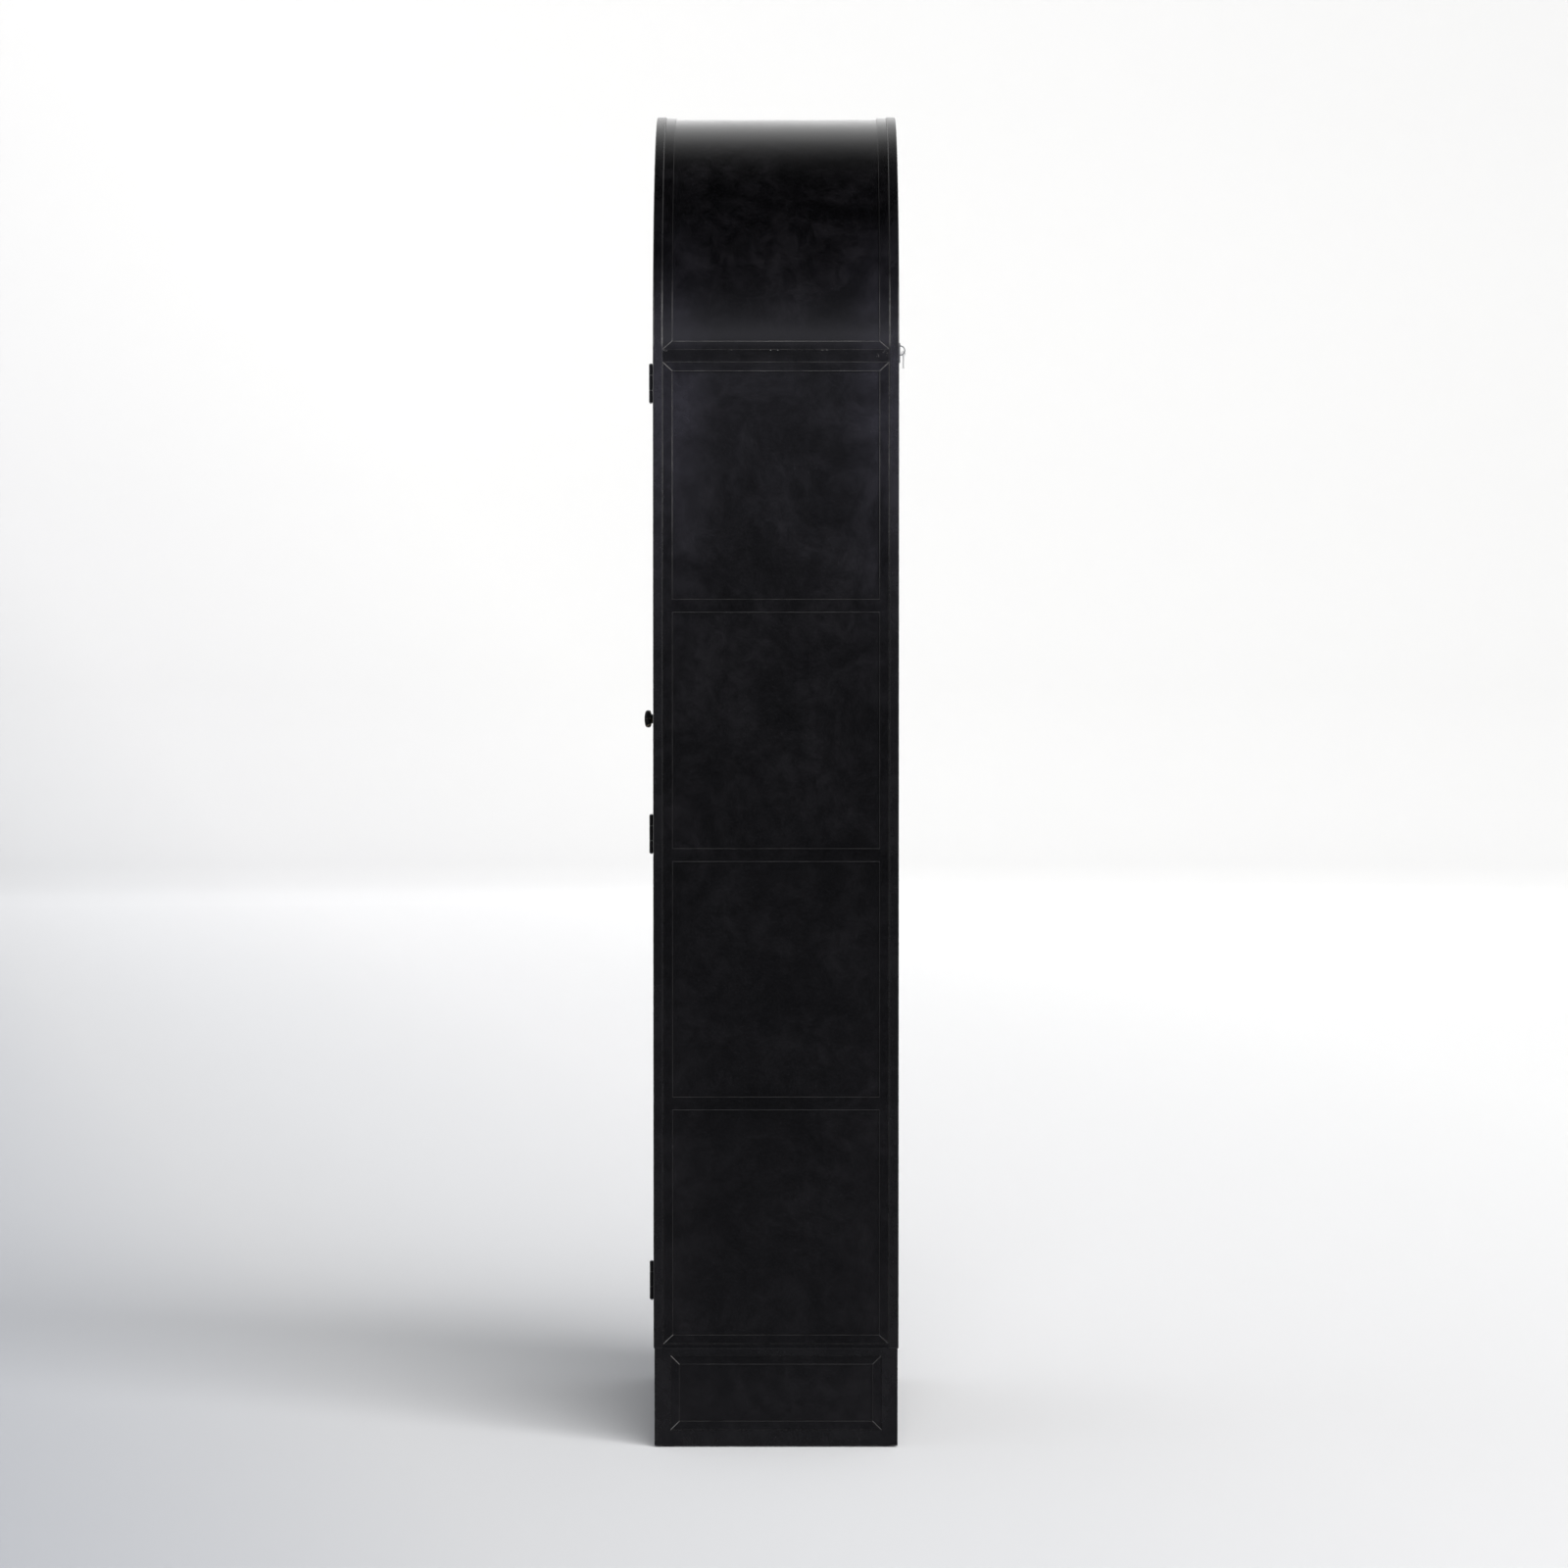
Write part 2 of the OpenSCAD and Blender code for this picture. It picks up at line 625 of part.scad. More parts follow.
module centre_wheel() color(brass) {
    pinion([0, 0], leaves, m_great, great_a + 180, -84.5, -75.5);
    crossed_wheel([0, 0], centre_teeth, m_centre, third_a, -62, -59, 30, 9, 5);
    rod(0, dial_z, -95.5, back_y - plate_t - 0.2, 2.5);
    rod(0, dial_z, -160, -95, 2.5);
    rod(0, dial_z, back_y - 4, back_y, pivot_r);
}

module third_wheel() color(brass) {
    pinion(third_p, leaves, m_centre, third_a, -64.5, -56.5);
    crossed_wheel(third_p, third_teeth, m_third, third_escape_a, -30, -27, 25, 8, 5);
    arbor(third_p, arbor_r);
}

module escape_wheel() color(brass) {
    z = dial_z + escape_z;
    pinion(escape_p, leaves, m_third, third_escape_a, -32.5, -24.5);
    difference() {
        translate([0, 0, z]) slab(-12, -10)
            polygon([for (i = [0:escape_teeth - 1], e = [[20.5, 0], [escape_r, 4.2], [20.5, 6.5]])
                polar(e[0], i * 360 / escape_teeth + e[1])]);
        translate([0, 0, z]) difference() {
            slab(-13, -9) difference() { circle(r = 18); circle(r = 7); }
            for (k = [0:4]) rotate([0, 72 * k, 0]) box(0, 19, -14, -8, -1.8, 1.8);
        }
    }
    arbor(escape_p, arbor_r);
    rod(0, z, -150, front_y + 0.5, pivot_r);
}

// Anchor whose pallets stop just short of the escape wheel's teeth
module pallet_anchor() color(bright) {
    z = dial_z + anchor_p[1];
    difference() {
        translate([0, 0, z]) slab(-14, -8)
            polygon([[-6, 5], [6, 5], [30, -12], [27, -25], [22.2, -19], [24, -12], [4, -4.5],
                     [-4, -4.5], [-24, -12], [-22.2, -19], [-27, -25], [-30, -12]]);
        rod(0, z, -15, -7, 1.9);
    }
    rod(0, z, front_y + plate_t + 0.2, 17.8, arbor_r);
    rod(0, z, front_y, 22, pivot_r);
    // crutch and its fork round the pendulum rod
    rod(0, z, 10, 15, 5);
    box(-2, 2, 11, 14, z - 110, z);
    box(-2, 2, 11, 36, z - 113, z - 109);
    difference() {
        box(-8, 8, 36, 54, z - 113, z - 109);
        box(-rod_r - 0.3, rod_r + 0.3, 39, 55, z - 114, z - 108);
    }
}

module cannon_pinion() color(brass)
    difference() {
        union() {
            gear([0, 0], cannon_teeth, m_cannon, tooth, minute_a, -104, -99);
            rod(0, dial_z, -156.5, -98, 4.5);
        }
        rod(0, dial_z, -165, -90, 2.5);
    }

module minute_wheel() color(brass)
    difference() {
        union() {
            gear(minute_p, 2 * cannon_teeth, m_cannon, tooth, minute_a + 180 + 90 / cannon_teeth, -103, -100.5);
            gear(minute_p, minute_leaves, m_minute, leaf, minute_a, -112, -103);
        }
        rod(minute_p[0], dial_z + minute_p[1], -120, -90, arbor_r + run);
    }

module hour_wheel() color(brass)
    difference() {
        union() {
            gear([0, 0], hour_teeth, m_minute, tooth, minute_a + 180 / hour_teeth, -110, -107);
            rod(0, dial_z, -151, -106, 7);
        }
        rod(0, dial_z, -160, -90, 4.5 + run);
    }

// Hand along +X: hub, blade with an open ring near its tip, and a short tail
module hand_outline(l, w, ring) {
    eye = l * 0.72;
    difference() {
        union() {
            circle(r = w * 1.9);
            polygon([[-l * 0.16, w * 0.8], [-l * 0.16, -w * 0.8], [0, -w], [eye, -w * 0.42],
                     [l, -0.6], [l, 0.6], [eye, w * 0.42], [0, w]]);
            translate([eye, 0]) circle(r = ring);
            translate([-l * 0.16, 0]) circle(r = w * 1.2);
        }
        translate([eye, 0]) circle(r = ring - w * 0.5);
    }
}

minute_deg = shown_minute * 6;
hour_deg = (shown_hour % 12 + shown_minute / 60) * 30;

module minute_hand() color([0.05, 0.05, 0.05])
    difference() {
        translate([0, 0, dial_z]) rotate([0, minute_deg - 90, 0]) slab(-158, -156.5)
            hand_outline(minute_l, 7, 13);
        rod(0, dial_z, -170, -150, 2.5);
    }

module hour_hand() color([0.05, 0.05, 0.05])
    difference() {
        translate([0, 0, dial_z]) rotate([0, hour_deg - 90, 0]) slab(-152.5, -151)
            hand_outline(hour_l, 9, 18);
        rod(0, dial_z, -170, -140, 4.5 + run);
    }

module seconds_hand() color([0.05, 0.05, 0.05])
    difference() {
        translate([0, 0, dial_z + escape_z]) slab(-148, -147) union() {
            circle(r = 4);
            polygon([[-1.2, -12], [1.2, -12], [0.5, 40], [-0.5, 40]]);
        }
        rod(0, dial_z + escape_z, -155, -140, pivot_r);
    }

module hand_nut() color(brass)
    difference() {
        union() {
            rod(0, dial_z, -162, -158, 7);
            translate([0, -162, dial_z]) rotate([90, 0, 0]) cylinder(r1 = 6, r2 = 3, h = 3);
        }
        rod(0, dial_z, -160, -157, 2.5);
    }

// ---- strike train ----
module strike_great_wheel() color(brass) {
    z = dial_z + strike_p[1];
    crossed_wheel(strike_p, strike_teeth, m_great, pin_a, -72, -68, 43, 25, 5);
    rod(strike_p[0], z, -68, -66, 24);
    rod(strike_p[0], z, -66, -36, drum_r);
    rod(strike_p[0], z, -36, -34, 24);
    rod(strike_p[0], z, front_y - 2, back_y - plate_t - 0.2, 4);
    rod(strike_p[0], z, front_y, back_y, pivot_r);
    box(strike_p[0] - 2.8, strike_p[0] + 2.8, dial_y - 1, front_y, z - 2.8, z + 2.8);
}

module pin_wheel() color(brass) {
    pinion(pin_p, leaves, m_great, pin_a, -74.5, -65.5);
    crossed_wheel(pin_p, centre_teeth, m_third, fly_a, -20, -17, 24, 9, 4);
    arbor(pin_p, arbor_r);
    for (k = [0:7]) {
        q = pin_p + polar(pin_circle, 45 * k + 22.5);
        rod(q[0], dial_z + q[1], -17, -10, 1.2);
    }
}

module strike_fly() color(brass) {
    z = dial_z + fly_p[1];
    pinion(fly_p, leaves, m_third, fly_a, -22.5, -14.5);
    arbor(fly_p, arbor_r);
    rod(fly_p[0], z, -70, -34, 4);
    translate([fly_p[0], 0, z]) rotate([0, 25, 0]) box(-20, 20, -66, -38, -0.6, 0.6);
}

module strike_hammer() color(bright) {
    z = dial_z + hammer_p[1];
    tail = pin_p - hammer_p;
    reach = norm(tail) - pin_circle - 3.5;
    arm_end = [-62, bell_z + 8] - hammer_p;
    arbor(hammer_p, arbor_r);
    translate([hammer_p[0], 0, z]) {
        slab(-16, -11) difference() {
            union() {
                circle(r = 5);
                rotate(atan2(tail[1], tail[0])) translate([0, -2]) square([reach, 4]);
            }
            circle(r = 1.9);
        }
        slab(-49, -43) difference() {
            union() {
                circle(r = 6);
                rotate(atan2(arm_end[1], arm_end[0])) translate([0, -2]) square([norm(arm_end), 4]);
            }
            circle(r = 1.9);
        }
    }
    translate([-70, bell_y, dial_z + bell_z + 8]) rotate([0, 90, 0]) cylinder(r = 8, h = 17);
}

module bell() color(brass)
    translate([0, bell_y, dial_z + bell_z]) difference() {
        union() {
            cylinder(r = bell_r, h = 5);
            intersection() {
                sphere(r = bell_r - 2);
                cylinder(r = bell_r, h = 42);
            }
        }
        translate([0, 0, -1]) cylinder(r = bell_r - 5, h = 1.5);
        difference() {
            sphere(r = bell_r - 5);
            translate([-60, -60, 39]) cube([120, 120, 20]);
        }
        cylinder(r = 3, h = 50);
    }

module bell_stand() color(bright) {
    top = dial_z + 208;
    box(-58, -42, back_y, back_y + 3, dial_z + 60, top);
    box(-58, 8, back_y - 8, back_y + 3, top, top + 3);
    box(-8, 8, bell_y - 8, back_y - 8, top, top + 3);
    translate([0, bell_y, dial_z + bell_z + 42]) cylinder(r = 5, h = 16);
    translate([0, bell_y, dial_z + bell_z + 34]) cylinder(r = 3, h = 10);
    translate([0, bell_y, dial_z + bell_z + 34]) cylinder(r = 5, h = 5);
}

// ---- pendulum ----
module pendulum_cock() color(brass)
    difference() {
        union() {
            for (s = [0, 1]) mirror([s, 0, 0]) box(16, 28, back_y, back_y + 10, pivot_z - 14, pivot_z + 14);
            box(-28, 28, 18, 24, pivot_z - 14, pivot_z + 14);
            box(-9, 9, 24, 56, pivot_z - 6, pivot_z + 12);
        }
        rod(0, pivot_z, 17, 25, pivot_r + run);
        rod(0, pivot_z, 24.5, 57, pin_r + run);
        box(-3.5, 3.5, 39, 51, pivot_z - 7, pivot_z + 5);
    }

// Suspension spring with its pin, the rod, and the rating screw at its foot
module pendulum_rod() color(brass) {
    rod(0, pivot_z, 36, 54, pin_r);
    rod(0, pivot_z, 40.5, 49.5, 2.4);
    box(-0.3, 0.3, 41, 49, pivot_z - 22, pivot_z);
    box(-5, 5, 40, 50, pivot_z - 36, pivot_z - 20);
    translate([0, rod_y, bob_z - bob_r - 8]) cylinder(r = rod_r, h = pivot_z - 36 - bob_z + bob_r + 8);
    translate([0, rod_y, bob_z - bob_r - 34]) cylinder(r = 2.5, h = 26);
}

module pendulum_bob() color(brass) {
    lens_r = (bob_r * bob_r + 18 * 18) / 36;
    difference() {
        intersection() {
            translate([0, rod_y + lens_r - 18, bob_z]) sphere(r = lens_r, $fn = 200);
            translate([0, rod_y - lens_r + 18, bob_z]) sphere(r = lens_r, $fn = 200);
            rod(0, bob_z, rod_y - 20, rod_y + 20, bob_r - 2);
        }
        translate([0, rod_y, bob_z - bob_r - 1]) cylinder(r = rod_r, h = 2 * bob_r + 2);
    }
    translate([0, rod_y, bob_z - bob_r - 20]) difference() {
        cylinder(r = 13, h = 10);
        translate([0, 0, -1]) cylinder(r = 2.5, h = 12);
    }
}

// ---- weights ----
module weight(x) {
    top = sheave_h - sheave_r - 30;
    translate([x, cable_y, top - weight_l]) {
        cylinder(r = weight_r, h = weight_l);
        translate([0, 0, -5]) cylinder(r = weight_r - 6, h = 5);
        translate([0, 0, weight_l]) cylinder(r1 = weight_r, r2 = 10, h = 8);
        translate([0, 0, weight_l + 6]) cylinder(r = 4, h = 16);
    }
    // stirrup that carries the sheave
    for (s = [-1, 1]) box(x - 6, x + 6, cable_y + s * 7 - 1, cable_y + s * 7 + 1, top + 20, sheave_h + 8);
    box(x - 6, x + 6, cable_y - 8, cable_y + 8, top + 18, top + 22);
    rod(x, sheave_h, cable_y - 10, cable_y + 10, 2);
}

module sheave(x)
    translate([x, cable_y + 5, sheave_h]) rotate([90, 0, 0]) difference() {
        cylinder(r = sheave_r + 1.5, h = 10);
        translate([0, 0, -1]) cylinder(r = 2 + run, h = 12);
        translate([0, 0, 5]) rotate_extrude() translate([sheave_r, 0])
            polygon([[-1.2, -1.2], [3, -4], [3, 4], [-1.2, 1.2]]);
    }

module cable(x0, x1) {
    translate([x0, cable_y, sheave_h]) cylinder(r = cable_r, h = cable_top - sheave_h, $fn = 24);
    translate([x1, cable_y, sheave_h]) cylinder(r = cable_r, h = cable_top - post_r - sheave_h, $fn = 24);
    translate([(x0 + x1) / 2, cable_y, sheave_h]) rotate([90, 0, 0]) rotate([0, 0, 180])
        rotate_extrude(angle = 180) translate([sheave_r, 0]) circle(r = cable_r, $fn = 24);
}

module time_weight() color(brass) weight(weight_x);

module time_sheave() color(brass) sheave(weight_x);

module time_cable() color(bright) cable(cable_x, post_x);

module strike_weight() color(brass) weight(-weight_x);

module strike_sheave() color(brass) sheave(-weight_x);

module strike_cable() color(bright) mirror([1, 0, 0]) cable(cable_x, post_x);

glides();
plinth_frame();
plinth_panels();
plinth_strips();
floor_pan();
front_frame();
rear_frame();
side_rails();
side_panel_right();
side_panel_left();
side_strips();
arch_skin();
arch_strips();
back_panel();
tether_eyes();
seatboard();
seat_angles();
catch_magnet();
hinge_case_leaves();
hinge_pins();
door_frame();
door_muntins();
door_glass();
glazing_beads();
hinge_door_leaves();
door_knob();
dial_plate();
chapter_ring();
dial_numerals();
movement_front_plate();
movement_back_plate();
plate_pillars();
movement_nuts();
pendulum_cock();
bell();
bell_stand();
time_great_wheel();
centre_wheel();
third_wheel();
escape_wheel();
pallet_anchor();
cannon_pinion();
minute_wheel();
hour_wheel();
minute_hand();
hour_hand();
seconds_hand();
hand_nut();
strike_great_wheel();
pin_wheel();
strike_fly();
strike_hammer();
pendulum_rod();
pendulum_bob();
time_weight();
time_sheave();
time_cable();
strike_weight();
strike_sheave();
strike_cable();
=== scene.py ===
"""A weight-driven longcase clock in a blackened iron case, alone in a white studio."""
import json
import math
import random

import bmesh
import bpy
from mathutils import Matrix, Vector

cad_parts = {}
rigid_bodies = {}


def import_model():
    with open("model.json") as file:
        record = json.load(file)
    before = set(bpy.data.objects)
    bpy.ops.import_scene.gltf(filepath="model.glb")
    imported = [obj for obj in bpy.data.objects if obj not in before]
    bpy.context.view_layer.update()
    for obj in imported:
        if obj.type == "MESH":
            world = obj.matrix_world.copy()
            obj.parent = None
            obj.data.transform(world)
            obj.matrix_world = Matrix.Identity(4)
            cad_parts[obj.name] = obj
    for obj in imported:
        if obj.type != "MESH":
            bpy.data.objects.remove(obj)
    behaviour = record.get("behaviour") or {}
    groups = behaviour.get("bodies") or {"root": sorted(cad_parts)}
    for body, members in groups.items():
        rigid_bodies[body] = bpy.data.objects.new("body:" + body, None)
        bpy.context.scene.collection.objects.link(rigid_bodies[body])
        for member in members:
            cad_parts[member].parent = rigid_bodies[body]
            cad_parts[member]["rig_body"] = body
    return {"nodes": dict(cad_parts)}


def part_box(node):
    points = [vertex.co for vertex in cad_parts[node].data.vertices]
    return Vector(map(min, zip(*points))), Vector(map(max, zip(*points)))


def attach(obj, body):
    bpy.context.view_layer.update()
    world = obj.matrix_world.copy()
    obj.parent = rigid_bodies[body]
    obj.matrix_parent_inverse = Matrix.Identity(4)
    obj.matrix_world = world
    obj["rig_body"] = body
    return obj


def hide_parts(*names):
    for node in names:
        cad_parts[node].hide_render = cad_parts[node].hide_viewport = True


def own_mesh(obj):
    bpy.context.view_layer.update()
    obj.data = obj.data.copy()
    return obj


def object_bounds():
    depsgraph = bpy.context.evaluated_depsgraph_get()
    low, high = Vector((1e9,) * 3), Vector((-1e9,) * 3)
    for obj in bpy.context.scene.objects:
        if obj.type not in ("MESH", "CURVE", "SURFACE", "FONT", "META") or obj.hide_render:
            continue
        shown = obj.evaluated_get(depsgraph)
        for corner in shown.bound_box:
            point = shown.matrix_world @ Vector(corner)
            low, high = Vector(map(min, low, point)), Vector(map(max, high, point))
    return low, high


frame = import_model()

CAD_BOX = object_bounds()
NODES = frame["nodes"]
SLOTS = {name: node.material_slots[0].name.split(".")[0]
         for name, node in NODES.items() if node.material_slots}
MM = 0.001


# ---- node and mesh helpers ----
class Look:
    """A material with one Principled shader, built from short calls."""

    def __init__(self, name, metallic=0.0, roughness=0.5, **sockets):
        self.material = bpy.data.materials.new(name)
        self.material.use_nodes = True
        self.tree = self.material.node_tree
        self.shader = self.tree.nodes["Principled BSDF"]
        self.set("Metallic", metallic)
        self.set("Roughness", roughness)
        for socket, value in sockets.items():
            self.set(socket.replace("_", " "), value)
        self.here = self.tree.nodes.new("ShaderNodeTexCoord").outputs["Object"]

    def set(self, socket, value):
        """Gives a shader socket a number, a colour or a link."""
        feed(self.tree, self.shader.inputs[socket], value)

    def node(self, kind, output=0, properties=None, **inputs):
        made = self.tree.nodes.new("ShaderNode" + kind)
        for name, value in (properties or {}).items():
            setattr(made, name, value)
        for name, value in inputs.items():
            key = int(name[1:]) if name[0] == "i" and name[1:].isdigit() else name.replace("_", " ")
            feed(self.tree, made.inputs[key], value)
        return made.outputs[output]

    def stretched(self, x, y, z):
        """Object coordinates scaled along each axis."""
        return self.node("Mapping", Vector=self.here, Scale=(x, y, z))

    def noise(self, scale, detail=3.0, rough=0.5, vector=None, warp=0.0):
        return self.node("TexNoise", Vector=vector or self.here, Scale=scale, Detail=detail,
                         Roughness=rough, Distortion=warp)

    def ramp(self, fac, *stops):
        """Maps 0..1 through (place, grey or colour) stops."""
        made = self.tree.nodes.new("ShaderNodeValToRGB")
        feed(self.tree, made.inputs["Fac"], fac)
        points = made.color_ramp.elements
        while len(points) < len(stops):
            points.new(0.5)
        for point, (place, value) in zip(points, stops):
            point.position = place
            point.color = (*value, 1) if isinstance(value, tuple) else (value, value, value, 1)
        return made.outputs["Color"]

    def maths(self, operation, a, b=0.0):
        return self.node("Math", properties={"operation": operation}, i0=a, i1=b)

    def times(self, product, *factors):
        for factor in factors:
            product = self.maths("MULTIPLY", product, factor)
        return product

    def vector_maths(self, operation, a, b, output=0):
        return self.node("VectorMath", output, {"operation": operation}, i0=a, i1=b)

    def radius(self, centre):
        """Distance from the Y axis through centre (x, z)."""
        away = self.vector_maths("SUBTRACT", self.here, (centre[0], 0.0, centre[1]))
        flat = self.vector_maths("MULTIPLY", away, (1.0, 0.0, 1.0))
        return self.node("VectorMath", 1, {"operation": "LENGTH"}, i0=flat)

    def mix(self, fac, a, b):
        return self.node("Mix", output=2, properties={"data_type": "RGBA"}, i0=fac, i6=a, i7=b)

    def bump(self, height, distance, strength=1.0, under=None):
        made = self.tree.nodes.new("ShaderNodeBump")
        made.inputs["Strength"].default_value = strength
        made.inputs["Distance"].default_value = distance
        feed(self.tree, made.inputs["Height"], height)
        if under:
            feed(self.tree, made.inputs["Normal"], under)
        return made.outputs["Normal"]


def feed(tree, socket, value):
    """Links value to socket if it is an output, and otherwise sets it."""
    if isinstance(value, bpy.types.NodeSocket):
        tree.links.new(value, socket)
    elif isinstance(value, tuple) and socket.type == "RGBA":
        socket.default_value = (*value, 1)
    else:
        socket.default_value = value


def piece(name, shape, look, body, slot, *replaced):
    """An object from a bmesh in the row frame, riding on a body."""
    mesh = bpy.data.meshes.new(name)
    shape.to_mesh(mesh)
    shape.free()
    obj = bpy.data.objects.new(name, mesh)
    bpy.context.scene.collection.objects.link(obj)
    for material in look if isinstance(look, list) else [look]:
        mesh.materials.append(material)
    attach(obj, body)
    if replaced:
        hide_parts(*replaced)
    return obj


def smooth(shape, angle=30.0):
    """Smooth shading with sharp edges where faces meet at more than angle degrees."""
    for face in shape.faces:
        face.smooth = True
    for edge in shape.edges:
        edge.smooth = edge.calc_face_angle(math.pi) < math.radians(angle)


def body_of(node):
    return NODES[node]["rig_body"]


def slot_of(node):
    return SLOTS[node]


def rounded(node, width, look, edge_look=None, segments=2):
    """A copy of a CAD node whose sharp edges are rounded by width metres. It stands for the node."""
    shape = bmesh.new()
    shape.from_mesh(NODES[node].data)
    bmesh.ops.remove_doubles(shape, verts=shape.verts, dist=1e-6)
    bmesh.ops.dissolve_limit(shape, angle_limit=math.radians(0.3), verts=shape.verts, edges=shape.edges)
    smooth(shape)
    looks = [look, edge_look] if edge_look else [look]
    obj = piece(node + "_rounded", shape, looks, body_of(node), slot_of(node), node)
    bevel = obj.modifiers.new("edges", "BEVEL")
    bevel.width = width
    bevel.segments = segments
    bevel.limit_method = "ANGLE"
    bevel.angle_limit = math.radians(40)
    bevel.harden_normals = True
    bevel.use_clamp_overlap = True
    if edge_look:
        bevel.material = 1
    return obj


def carried(node, look):
    """Gives a CAD node a better material."""
    for slot in NODES[node].material_slots:
        slot.material = look


def block(shape, low, high, turn=None):
    """Adds a box from low to high, turned about the origin if turn is a matrix."""
    size = Vector(high) - Vector(low)
    matrix = Matrix.Translation((Vector(low) + Vector(high)) / 2) @ Matrix.Diagonal((*size, 1.0))
    bmesh.ops.create_cube(shape, size=1.0, matrix=turn @ matrix if turn else matrix)


def turned(shape, profile, matrix, steps=64):
    """Adds a solid turned about local Z through (radius, height) points."""
    rings = []
    for r, h in profile:
        angles = [2 * math.pi * k / steps for k in range(steps)] if r else [0.0]
        spots = [Vector((r * math.cos(a), r * math.sin(a), h)) for a in angles]
        rings.append([shape.verts.new(matrix @ spot) for spot in spots])
    for low, high in zip(rings, rings[1:]):
        for k in range(steps):
            n = (k + 1) % steps
            corners = [low[k], low[n]] if len(low) > 1 else [low[0]]
            corners += [high[n], high[k]] if len(high) > 1 else [high[0]]
            shape.faces.new(corners)
    if len(rings[0]) > 1 and profile[0] == profile[-1]:
        bmesh.ops.remove_doubles(shape, verts=rings[0] + rings[-1], dist=1e-9)


def wire(shape, points, radius, sides=6):
    """Adds a round wire through points."""
    rings = []
    for k, point in enumerate(points):
        ahead = (points[min(k + 1, len(points) - 1)] - points[max(k - 1, 0)]).normalized()
        across = ahead.cross(Vector((0.31, 0.95, 0.07))).normalized()
        over = ahead.cross(across)
        rings.append([shape.verts.new(point + radius * (across * math.cos(a) + over * math.sin(a)))
                      for a in (2 * math.pi * n / sides for n in range(sides))])
    for low, high in zip(rings, rings[1:]):
        for n in range(sides):
            shape.faces.new((low[n], low[(n + 1) % sides], high[(n + 1) % sides], high[n]))
    shape.faces.new(rings[0][::-1])
    shape.faces.new(rings[-1])


def facing_front(x, y, z):
    """A frame at x, y, z whose local Z points out of the front of the clock, along -Y."""
    return Matrix.Translation((x, y, z)) @ Matrix.Rotation(math.radians(90), 4, "X")


def washer(shape, x, y, z, r_in, r_out, thick, steps=96):
    """Adds a flat ring lying against a front face at y."""
    section = [(r_in, 0.0), (r_out, 0.0), (r_out, thick), (r_in, thick), (r_in, 0.0)]
    turned(shape, section, facing_front(x, y, z), steps)


def blob(shape, x, y, z, size):
    """Adds a flattened drop, as of weld metal."""
    bmesh.ops.create_icosphere(shape, subdivisions=2, radius=1.0,
                               matrix=Matrix.Translation((x, y, z)) @ Matrix.Diagonal((*size, 1.0)))


# ---- materials ----
# Bare steel colours; on the iron's edges the mix between them is a painted highlight.
BARE_DARK = (0.012, 0.012, 0.013)
BARE_BRIGHT = (1.0, 0.98, 0.95)


